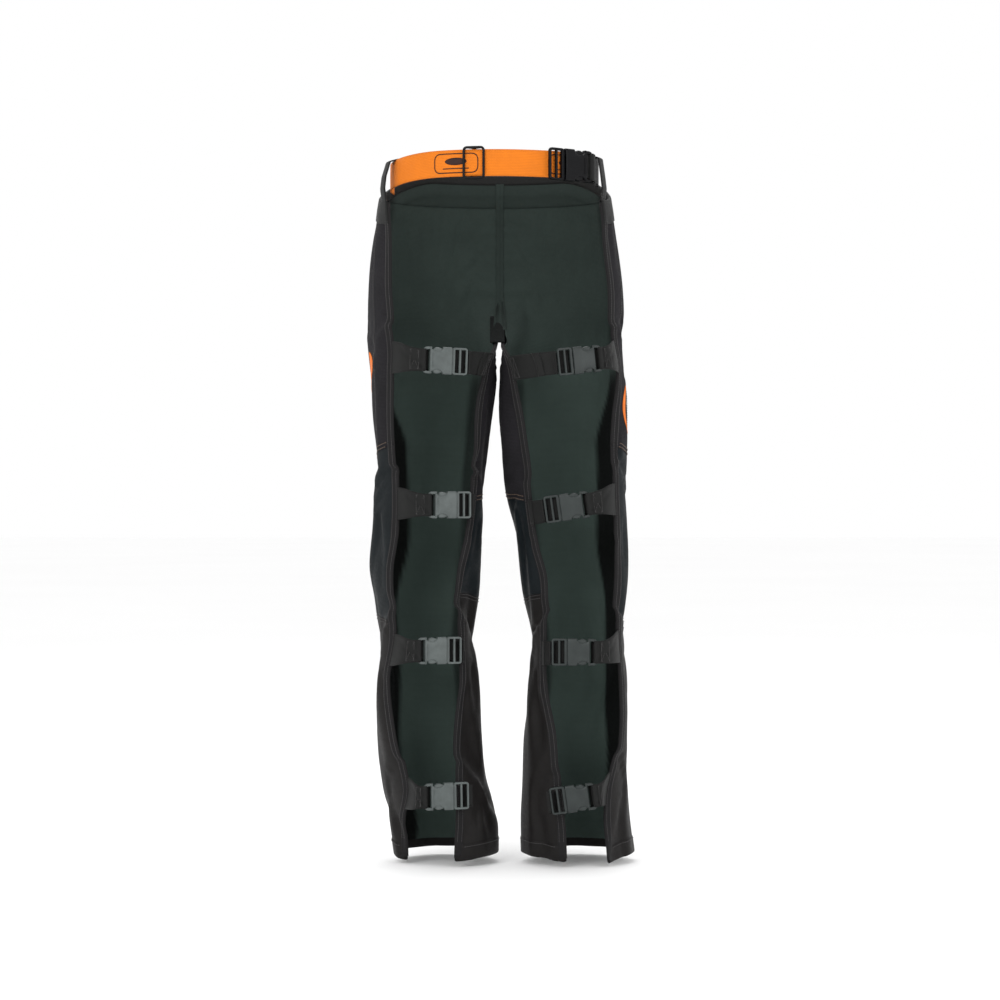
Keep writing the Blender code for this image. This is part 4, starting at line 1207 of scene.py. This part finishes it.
def socket_shapes(scale):
    """The socket half about its middle, mouth at +X. Its body is a hollow box carried from the web end to the
    mouth, whose half width dips in a circular scoop on both edges; a U-shaped bar closes the web slot."""
    mm = MM * scale
    wide, thick = BUCKLE_WIDE * scale / 2, SOCKET_THICK * scale / 2
    x = np.concatenate((np.linspace(-11.2, -10.2, 3), np.linspace(-9.9, 7.9, 34), np.linspace(8.4, 20.2, 8),
                        np.linspace(20.5, 21.0, 3))) * mm
    scoop = 6.2 * mm * np.sqrt(np.clip(1 - ((x + 1 * mm) / (8.8 * mm))**2, 0, 1))
    ends = 1 - 0.10 * smooth(-10.4 * mm, -11.3 * mm, x) - 0.05 * smooth(20.4 * mm, 21.1 * mm, x)
    half = (wide - scoop) * ends
    high = thick * (1 - 0.16 * smooth(20.2 * mm, 21.0 * mm, x) - 0.20 * smooth(-10.2 * mm, -11.2 * mm, x)
                    - 0.10 * smooth(2.0 * mm, -9.0 * mm, x))
    inner_x = np.array((20.9, 20.0, 12.0)) * mm
    rings = [rounded_ring(a, b, c, 3.0 * mm) for a, b, c in zip(x, half, high)]
    rings += [rounded_ring(a, wide - 3.0 * mm, thick - 2.3 * mm, 1.2 * mm) for a in inner_x]
    body = closed_tube(np.stack(rings))
    path = rounded_path([(-8.5 * mm, 0, wide - 2.3 * mm), (-18.9 * mm, 0, wide - 2.3 * mm),
                         (-18.9 * mm, 0, -wide + 2.3 * mm), (-8.5 * mm, 0, -wide + 2.3 * mm)], 4.5 * mm, 8)
    yoke = bar(path, THROUGH, 2.1 * mm, 3.2 * mm)
    ridge = np.linspace((-7.4 * mm, -thick * 0.93, -9.5 * mm), (-7.4 * mm, -thick * 0.93, 9.5 * mm), 12)
    return [body, yoke, bar(ridge, THROUGH, 0.5 * mm, 0.45 * mm)]


def rounded_ring(x, half_wide, half_high, radius, points=36):
    """A ring in the plane of x: a rectangle with its corners rounded by a superellipse and its faces crowned."""
    turn = (np.arange(points) + 0.5) * 2 * math.pi / points
    c, s = np.cos(turn), np.sin(turn)
    power = 0.34
    z = np.sign(c) * np.abs(c)**power * half_wide
    y = np.sign(s) * np.abs(s)**power * (half_high - 0.09 * half_high * (z / half_wide)**2)
    return np.stack((np.full(points, x), y, z), -1)


def prong_shapes(scale):
    """The prong half about the shoulder's outer face: a two-slot ladder at +X, a tongue and two sprung arms at -X,
    whose tips swell outwards to fill the socket's scoops."""
    mm = MM * scale
    wide, thick, long = BUCKLE_WIDE * scale / 2, LADDER_THICK * scale / 2, LADDER_LONG * scale
    rim = 1.6 * mm
    shapes = [bar(box_path(rim * 0.6, long - rim, 0, wide - rim, -wide + rim, 3.2 * mm, 7), THROUGH, rim, thick,
                  loop=True)]
    for at, half, deep in ((2.2 * mm, 2.1 * mm, thick * 1.05), (11.4 * mm, 1.7 * mm, thick * 0.8)):
        shapes.append(bar(np.linspace((at, 0, -wide + rim), (at, 0, wide - rim), 14), THROUGH, half, deep))
    t = np.linspace(0, 1, 22)
    for end in (-1, 1):
        x = (2.0 - 30.5 * t) * mm
        z = end * (13.2 + 0.4 * t + 1.3 * np.sin(math.pi * np.clip((t - 0.35) / 0.65, 0, 1))) * mm
        path = np.stack((x, 0 * x, z), -1)
        half = (1.7 + 2.5 * smooth(0.45, 0.78, t) - 2.6 * smooth(0.86, 1.0, t)) * mm
        shapes.append(bar(path, THROUGH, half, (2.3 + 1.0 * smooth(0.4, 0.8, t) - 1.4 * smooth(0.9, 1, t)) * mm))
    tongue = np.linspace((2 * mm, 0, 0), (-19 * mm, 0, 0), 8)
    shapes.append(bar(tongue, THROUGH, np.linspace(2.9, 2.0, 8) * mm, 1.7 * mm))
    return shapes


def make_leg_buckles():
    """A socket half and a prong half for each closing strap."""
    for side, label, body, _, _, middle, axes, _ in each_strap():
        along = axes[:, 0]
        socket_at = middle + along * (SOCKET_LONG - BUCKLE_LONG) / 2
        prong_at = middle + along * (BUCKLE_LONG / 2 - LADDER_LONG)
        # Painted light and shade: the left leg's buckles get the lighter, lit copy of the acetal, and the right leg's
        # get the darker, shaded copy.
        look = finish("grey_acetal" if side < 0 else "shaded_acetal")
        made = piece(f"{label}_socket_half", faced(socket_shapes(1), axes, socket_at), look, sharp=38,
                     replaces=[f"{label}_socket"])
        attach(made, body)
        made = piece(f"{label}_prong_half", faced(prong_shapes(1), axes, prong_at), look, sharp=38,
                     replaces=[f"{label}_prong"])
        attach(made, f"{label}_prong")


def faced(shapes, axes, at):
    """Shapes placed by axes; where those are left-handed, each shape is turned inside out to face outwards again."""
    placed = moved_shapes(shapes, axes, at)
    if np.linalg.det(axes) < 0:
        placed = [{**shape, "flip": not shape["flip"]} for shape in placed]
    return placed


# ---- belt ---------------------------------------------------------------------------------------
def belt_point(degrees, out=0.0, up=0.0):
    """Points on the belt's oval: degrees run from the back towards the wearer's right."""
    turn = np.radians(np.asarray(degrees, float))
    x = (BELT_HALF_WIDE + out) * np.sin(turn)
    y = -(BELT_HALF_DEEP + out) * np.cos(turn)
    return grid_of(x, y, up)


def belt_dip(degrees):
    """Height of the elastic's middle above the buckle's: it falls towards the left end."""
    return -BELT_DIP * smooth(-30, -BELT_LAP, degrees)


def belt_along(degrees):
    """The belt's direction there."""
    turn = math.radians(degrees)
    return unit(np.array((BELT_HALF_WIDE * math.cos(turn), BELT_HALF_DEEP * math.sin(turn), 0.0)))


def level_strip(path, crown=0.0):
    """A strip of belt from points of its outer face: rows along it, columns up it, its middle crowned outwards."""
    out = np.cross(unit(np.gradient(path, axis=0)), UPWARDS)
    e = np.linspace(-0.5, 0.5, 9)
    lift = crown * (1 - (2 * e)**2)
    return path[:, None] + UPWARDS * (e * BELT_WIDTH)[None, :, None] + out[:, None] * lift[None, :, None], out


def dense_cubic(start, leave, end, arrive, count):
    """One cubic as count + 1 points."""
    return cubic(start[None, None], leave[None, None], end[None, None], arrive[None, None], count)[:, 0]


def belt_route():
    """The elastic's outer face from its left end to the bar of the buckle's ladder, and the buckle's middle."""
    along = belt_along(BELT_BUCKLE_TURN)
    middle = belt_point(BELT_BUCKLE_TURN, 4 * MM)
    into = np.cross(UPWARDS, along)
    scale = BELT_BUCKLE_SCALE
    end = middle - along * (BUCKLE_LONG / 2 - WEB_REACH) * scale + into * (LADDER_THICK / 2 * scale + 0.6 * MM)
    turns = np.linspace(-BELT_LAP, LAST_ARC_TURN, 120)[:-1]
    arc = belt_point(turns, 0, belt_dip(turns))
    bend = dense_cubic(belt_point(LAST_ARC_TURN), belt_along(LAST_ARC_TURN) * 0.014, end, along * 0.014, 12)
    return np.concatenate((arc, bend)), middle, along, into


def make_belt():
    """The elastic with its printed badges, the short web on the right, the two loops, and the slider."""
    path, middle, along, into = belt_route()
    points, out = level_strip(path, crown=0.25 * MM)
    made = piece("belt_elastic", [open_grid(points, ribbon_uv(points), out[:, None])], finish("elastic"),
                 BELT_THICK, replaces=["belt_web"])
    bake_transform(made)
    far = path_lengths(path)
    left_badge = far[np.argmin(np.linalg.norm(path - belt_point(-21.5, 0, belt_dip(-21.5)), axis=-1))]
    right_badge = far[-1] + 12 * MM
    made = piece("belt_badge_left", badge_shapes(path, left_badge), finish("badge"), 0.25 * MM)
    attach(made, "waist")
    made = piece("belt_badge_right", badge_shapes(path, right_badge), finish("badge"), 0.25 * MM)
    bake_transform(made)
    scale = BELT_BUCKLE_SCALE
    start = middle + along * (BUCKLE_LONG / 2 * scale + 1 * MM) - into * 2.0 * MM
    over = [middle + along * (BUCKLE_LONG / 2 * scale - far * MM) - into * high * MM
            for far, high in ((6.4, -3.0), (6.2, 1.5), (5.2, 4.6), (3.2, 6.0), (0.8, 5.7))]
    bend = dense_cubic(start, along * 0.008, belt_point(FIRST_ARC_TURN), belt_along(FIRST_ARC_TURN) * 0.008, 10)
    arc = belt_point(np.linspace(FIRST_ARC_TURN, BELT_LAP, 24))[1:]
    points, _ = level_strip(np.concatenate((np.stack(over), bend, arc)))
    made = piece("belt_short_webbing", [open_grid(points, ribbon_uv(points), -into)], finish("webbing"),
                 BELT_THICK, replaces=["belt_short_web"])
    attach(made, "waist")
    for name, sign in (("left", -1), ("right", 1)):
        make_loop(name, sign)
    make_slider()


def badge_shapes(path, centre):
    """A printed badge on the elastic, round a distance along it: a rounded outline, and in it a plain solid oval
    over one thin bar. What would lie past the elastic's end is left out."""
    shapes = []
    far = path_lengths(path)
    outline = box_path(-32, 32, 0, -13.5, 13.5, 9.5, 10)[:, (0, 2)]
    line = np.concatenate((outline, outline[:1]))
    steps = path_lengths(line)
    line = points_at(np.linspace(0, steps[-1], 150), steps, line)
    ahead = unit(np.gradient(line, axis=0))
    beside = np.stack((-ahead[:, 1], ahead[:, 0]), -1)
    ring = line[:, None] + beside[:, None] * np.array((-0.7, 0.7))[None, :, None]
    ring[-1] = ring[0]
    across = np.linspace(-1, 1, 25)[:, None]
    e = np.array((-1, -0.33, 0.33, 1))[None, :]
    oval = grid_of(across * 16, 2.5 + e * 5.2 * np.sqrt(1.02 - across**2))
    thin = grid_of(across * 19, -7.5 + e * 0.7)
    for flat in (ring, oval, thin):
        along = centre + flat[..., 0] * MM
        keep = (along < far[-1]).all(1)
        flat, along = flat[keep], along[keep]
        if len(flat) < 2:
            continue
        base = points_at(along, far, path)
        out = unit(np.cross(base - points_at(along - MM, far, path), UPWARDS))
        points = base + out * 0.62 * MM
        points[..., 2] += flat[..., 1] * MM
        shapes.append(open_grid(points, None, out))
    return shapes


def make_loop(name, sign):
    """A web loop at the yoke's back corner: it leans up to the belt outside, crosses its top and drops inside."""
    inside, top = -6, 16.5 if name == "left" else 21.5
    bow = 18 if name == "left" else 15
    corners = [(bow - 3, -62, 0), (bow - 2, -44, 0), (bow, -27, 0), (bow - 2, -10, 0), (9, top - 4, 0),
               (inside + 1, top, 0), (inside, -16, 0), (inside, -20, 0)]
    line = rounded_path(np.array(corners) * MM, 2.6 * MM, 6)
    half = math.degrees(LOOP_WEB / BELT_HALF_DEEP) / 2
    turns = sign * (LOOP_AT + np.linspace(-half, half, 7))
    points = belt_point(turns, line[:, :1], line[:, 1:2])
    shape = folded_grid(points, ribbon_uv(points), np.s_[:3], unit(belt_point(sign * LOOP_AT)))
    made = piece(f"belt_loop_{name}_web", [shape], finish("webbing"), WEB_THICK,
                 replaces=[f"belt_loop_{name}"])
    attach(made, "waist")


def make_slider():
    """The three-bar slider: a rounded frame before the belt and a middle bar behind it, joined at top and bottom."""
    axes = np.stack((belt_along(SLIDER_TURN), np.cross(UPWARDS, belt_along(SLIDER_TURN)), UPWARDS), 1)
    at = belt_point(SLIDER_TURN, -BELT_THICK / 2)
    half_x, half_z = 14.2 * MM, 21.6 * MM
    front = box_path(-half_x, half_x, -3.0 * MM, -half_z, half_z, 5 * MM, 7)
    shapes = [bar(front, THROUGH, 1.8 * MM, 1.3 * MM, loop=True)]
    for end in (-1, 1):
        shapes.append(bar(np.linspace((0, -3 * MM, end * half_z), (0, 3.0 * MM, end * half_z), 6),
                          np.array((1.0, 0, 0)), 1.6 * MM, 9 * MM))
    shapes.append(bar(np.linspace((0, 2.9 * MM, -half_z), (0, 2.9 * MM, half_z), 12), THROUGH, 3.0 * MM, 1.2 * MM))
    made = piece("belt_slider_frame", faced(shapes, axes, at), finish("black_acetal"), sharp=38,
                 replaces=["belt_slider"])
    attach(made, "belt_slider")


def make_belt_buckle():
    """The belt's larger buckle in black: its socket half on the short web, its prong half on the elastic."""
    _, middle, along, into = belt_route()
    scale = BELT_BUCKLE_SCALE
    axes = np.stack((-along, into, UPWARDS), 1)
    socket_at = middle + along * (BUCKLE_LONG - SOCKET_LONG) / 2 * scale
    prong_at = middle - along * (BUCKLE_LONG / 2 - LADDER_LONG) * scale
    made = piece("belt_socket_half", faced(socket_shapes(scale), axes, socket_at), finish("black_acetal"),
                 sharp=38, replaces=["belt_socket"])
    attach(made, "waist")
    made = piece("belt_prong_half", faced(prong_shapes(scale), axes, prong_at), finish("black_acetal"), sharp=38,
                 replaces=["belt_prong"])
    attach(made, "belt_prong")


# ---- stage --------------------------------------------------------------------------------------
def area_light(name, at, aim, size, power, colour="#ffffff"):
    """A square soft light at a place, turned to its aim."""
    data = bpy.data.lights.new(name, "AREA")
    data.size = size
    data.energy = power
    data.color = tint(colour)[:3]
    light = bpy.data.objects.new(name, data)
    light.location = at
    direction = Vector(aim) - Vector(at)
    light.rotation_euler = direction.to_track_quat("-Z", "Y").to_euler()
    bpy.context.scene.collection.objects.link(light)


def make_stage():
    """A pale floor, a white surround, three soft lights, and the camera level with the thighs behind the chaps."""
    settings = bpy.context.scene.chaps_stage
    made, tree, shader = new_finish("matt_floor_paint", {"Roughness": 0.9})
    where = add(tree, "ShaderNodeTexCoord")
    cloud = add(tree, "ShaderNodeTexNoise", {"Vector": where.outputs["Object"], "Scale": 0.8, "Detail": 3.0})
    ground = add(tree, "ShaderNodeMix", {0: cloud.outputs["Fac"], 6: tint("#fbfbfb"), 7: tint("#ffffff")},
                 data_type="RGBA")
    tree.links.new(ground.outputs[2], shader.inputs["Base Color"])
    x, y = np.meshgrid(np.linspace(-30, 30, 3), np.linspace(-30, 30, 3))
    points = np.stack((x, y, np.full_like(x, settings.floor)), -1)
    floor = piece("studio_floor", [open_grid(points, None, (0, 0, 1))], made)
    world = bpy.data.worlds.new("studio_surround")
    world.use_nodes = True
    world.node_tree.nodes["Background"].inputs["Color"].default_value = tint("#ffffff")
    world.node_tree.nodes["Background"].inputs["Strength"].default_value = settings.surround
    bpy.context.scene.world = world
    area_light("key_light", (-1.6, -2.6, 0.9), (0, 0, -0.5), 1.6, settings.key)
    area_light("fill_light", (2.0, -2.2, 0.2), (0, 0, -0.5), 1.8, settings.key * 0.55)
    area_light("top_light", (0.0, 0.6, 1.8), (0, 0, -0.5), 1.2, settings.key * 0.5)
    data = bpy.data.cameras.new("studio_camera")
    data.sensor_width = 36
    data.lens = 36 * settings.camera_distance / settings.view_width
    data.clip_start, data.clip_end = 0.1, 100
    camera = bpy.data.objects.new("studio_camera", data)
    camera.location = (SHIFT[0], -settings.camera_distance, settings.camera_height)
    camera.rotation_euler = (math.radians(90), 0, 0)
    bpy.context.scene.collection.objects.link(camera)
    bpy.context.scene.camera = camera
    bpy.context.scene.view_settings.view_transform = "Standard"


# ---- add-on -------------------------------------------------------------------------------------
class ChapsClothSettings(bpy.types.PropertyGroup):
    """How the panels' cloth hangs."""
    simulate: BoolProperty(name="Simulate", description="Hang the cloth by simulation", default=True)
    fullness: FloatProperty(name="Fullness", description="How far over size the cloth is cut", default=0.025,
                            min=0.0, max=0.1)
    fold_cap: FloatProperty(name="Deepest fold", description="The furthest that cloth may leave its pattern",
                            default=0.006, min=0.001, max=0.02, unit="LENGTH")


def colour_setting(label, about, code):
    """A colour property with an sRGB hex code as its default."""
    return FloatVectorProperty(name=label, description=about, subtype="COLOR", size=3, min=0.0, max=1.0,
                               default=tint(code)[:3])


class ChapsColourSettings(bpy.types.PropertyGroup):
    """The main colours."""
    cloth: colour_setting("Cloth", "Outer cloth from the waist to the knee", "#2a282c")
    knee: colour_setting("Knee", "Knee patch", "#151d21")
    shin: colour_setting("Shin", "Outer cloth below the knee", "#201d1c")
    lining: colour_setting("Lining", "Inside of the legs", "#485651")
    webbing: colour_setting("Webbing", "Closing straps, loops and waistband", "#191a19")
    belt: colour_setting("Belt", "Elastic belt", "#ea7e1a")
    # The left leg's buckles take this colour: the lit copy of the acetal, lighter with painted light.
    buckles: colour_setting("Buckles", "Buckles of the left leg's straps", "#5a6160")


class ChapsTrimSettings(bpy.types.PropertyGroup):
    """Sizes of the sewing and the tapes."""
    stitch: FloatProperty(name="Stitch", description="From one stitch to the next", default=0.0036, min=0.001,
                          unit="LENGTH")
    thread: FloatProperty(name="Thread", description="Half the thickness of the thread", default=0.00042,
                          min=0.0001, unit="LENGTH")
    hem: FloatProperty(name="Hem", description="Height of the hem bands", default=0.022, min=0.01, max=0.05,
                       unit="LENGTH")


class ChapsStageSettings(bpy.types.PropertyGroup):
    """Floor, lights and camera."""
    floor: FloatProperty(name="Floor", description="Height of the floor under the hems", default=-1.003,
                         unit="LENGTH")
    surround: FloatProperty(name="Surround", description="Strength of the white surround", default=1.0, min=0.0)
    key: FloatProperty(name="Key light", description="Power of the largest light", default=34.0, min=0.0,
                       unit="POWER")
    camera_distance: FloatProperty(name="Distance", description="From the camera to the chaps' middle plane",
                                   default=3.5, unit="LENGTH")
    camera_height: FloatProperty(name="Height", description="Height of the camera", default=-0.477, unit="LENGTH")
    view_width: FloatProperty(name="View width", description="Width of the view at the chaps", default=1.46,
                              unit="LENGTH")


SETTINGS = {"chaps_cloth": ChapsClothSettings, "chaps_colours": ChapsColourSettings,
            "chaps_trim": ChapsTrimSettings, "chaps_stage": ChapsStageSettings}


class CHAPS_OT_outer_cloth(bpy.types.Operator):
    """Build the outer cloth of both legs, from the waist to the hems"""
    bl_idname = "chaps.outer_cloth"
    bl_label = "Outer Cloth"

    def execute(self, context):
        make_outer_cloth()
        return {"FINISHED"}


class CHAPS_OT_lining(bpy.types.Operator):
    """Build the lining of both legs"""
    bl_idname = "chaps.lining"
    bl_label = "Lining"

    def execute(self, context):
        make_lining()
        return {"FINISHED"}


class CHAPS_OT_padding(bpy.types.Operator):
    """Build the cut-resistant padding between the cloth and the lining"""
    bl_idname = "chaps.padding"
    bl_label = "Padding"

    def execute(self, context):
        make_padding()
        return {"FINISHED"}


class CHAPS_OT_tapes(bpy.types.Operator):
    """Build the bindings, hem bands, waistband and front seam tapes"""
    bl_idname = "chaps.tapes"
    bl_label = "Tapes and Hems"

    def execute(self, context):
        make_tapes()
        return {"FINISHED"}


class CHAPS_OT_flashes(bpy.types.Operator):
    """Build the printed crescents on the outer thighs"""
    bl_idname = "chaps.flashes"
    bl_label = "Thigh Flashes"

    def execute(self, context):
        make_flashes()
        return {"FINISHED"}


class CHAPS_OT_stitching(bpy.types.Operator):
    """Sew the stitch rows on the cloth"""
    bl_idname = "chaps.stitching"
    bl_label = "Stitching"

    def execute(self, context):
        make_stitching()
        return {"FINISHED"}


class CHAPS_OT_straps(bpy.types.Operator):
    """Build the webs of the eight closing straps"""
    bl_idname = "chaps.straps"
    bl_label = "Closing Straps"

    def execute(self, context):
        make_straps()
        return {"FINISHED"}


class CHAPS_OT_leg_buckles(bpy.types.Operator):
    """Build both halves of the eight leg buckles"""
    bl_idname = "chaps.leg_buckles"
    bl_label = "Leg Buckles"

    def execute(self, context):
        make_leg_buckles()
        return {"FINISHED"}


class CHAPS_OT_belt(bpy.types.Operator):
    """Build the elastic belt, its short web, loops and slider"""
    bl_idname = "chaps.belt"
    bl_label = "Belt"

    def execute(self, context):
        make_belt()
        return {"FINISHED"}


class CHAPS_OT_belt_buckle(bpy.types.Operator):
    """Build both halves of the belt buckle"""
    bl_idname = "chaps.belt_buckle"
    bl_label = "Belt Buckle"

    def execute(self, context):
        make_belt_buckle()
        return {"FINISHED"}


class CHAPS_OT_stage(bpy.types.Operator):
    """Build the floor, lights and camera"""
    bl_idname = "chaps.stage"
    bl_label = "Stage"

    def execute(self, context):
        make_stage()
        return {"FINISHED"}


BUILDERS = (CHAPS_OT_stage, CHAPS_OT_outer_cloth, CHAPS_OT_lining, CHAPS_OT_padding, CHAPS_OT_tapes,
            CHAPS_OT_flashes, CHAPS_OT_stitching, CHAPS_OT_straps, CHAPS_OT_leg_buckles, CHAPS_OT_belt,
            CHAPS_OT_belt_buckle)


class CHAPS_PT_build(bpy.types.Panel):
    """The chaps' settings, and a button for each group of pieces"""
    bl_label = "Chainsaw Chaps"
    bl_idname = "CHAPS_PT_build"
    bl_space_type = "VIEW_3D"
    bl_region_type = "UI"
    bl_category = "Chaps"

    def draw(self, context):
        for group, cls in SETTINGS.items():
            box = self.layout.box()
            for name in cls.__annotations__:
                box.prop(getattr(context.scene, group), name)
        column = self.layout.column()
        for operator in BUILDERS:
            column.operator(operator.bl_idname)


CLASSES = (*SETTINGS.values(), *BUILDERS, CHAPS_PT_build)


def register():
    for cls in CLASSES:
        bpy.utils.register_class(cls)
    for name, cls in SETTINGS.items():
        setattr(bpy.types.Scene, name, PointerProperty(type=cls))


def unregister():
    for name in SETTINGS:
        delattr(bpy.types.Scene, name)
    for cls in reversed(CLASSES):
        bpy.utils.unregister_class(cls)


def main():
    register()
    for operator in BUILDERS:
        getattr(bpy.ops.chaps, operator.bl_idname.split(".")[1])()


if __name__ == "__main__":
    main()
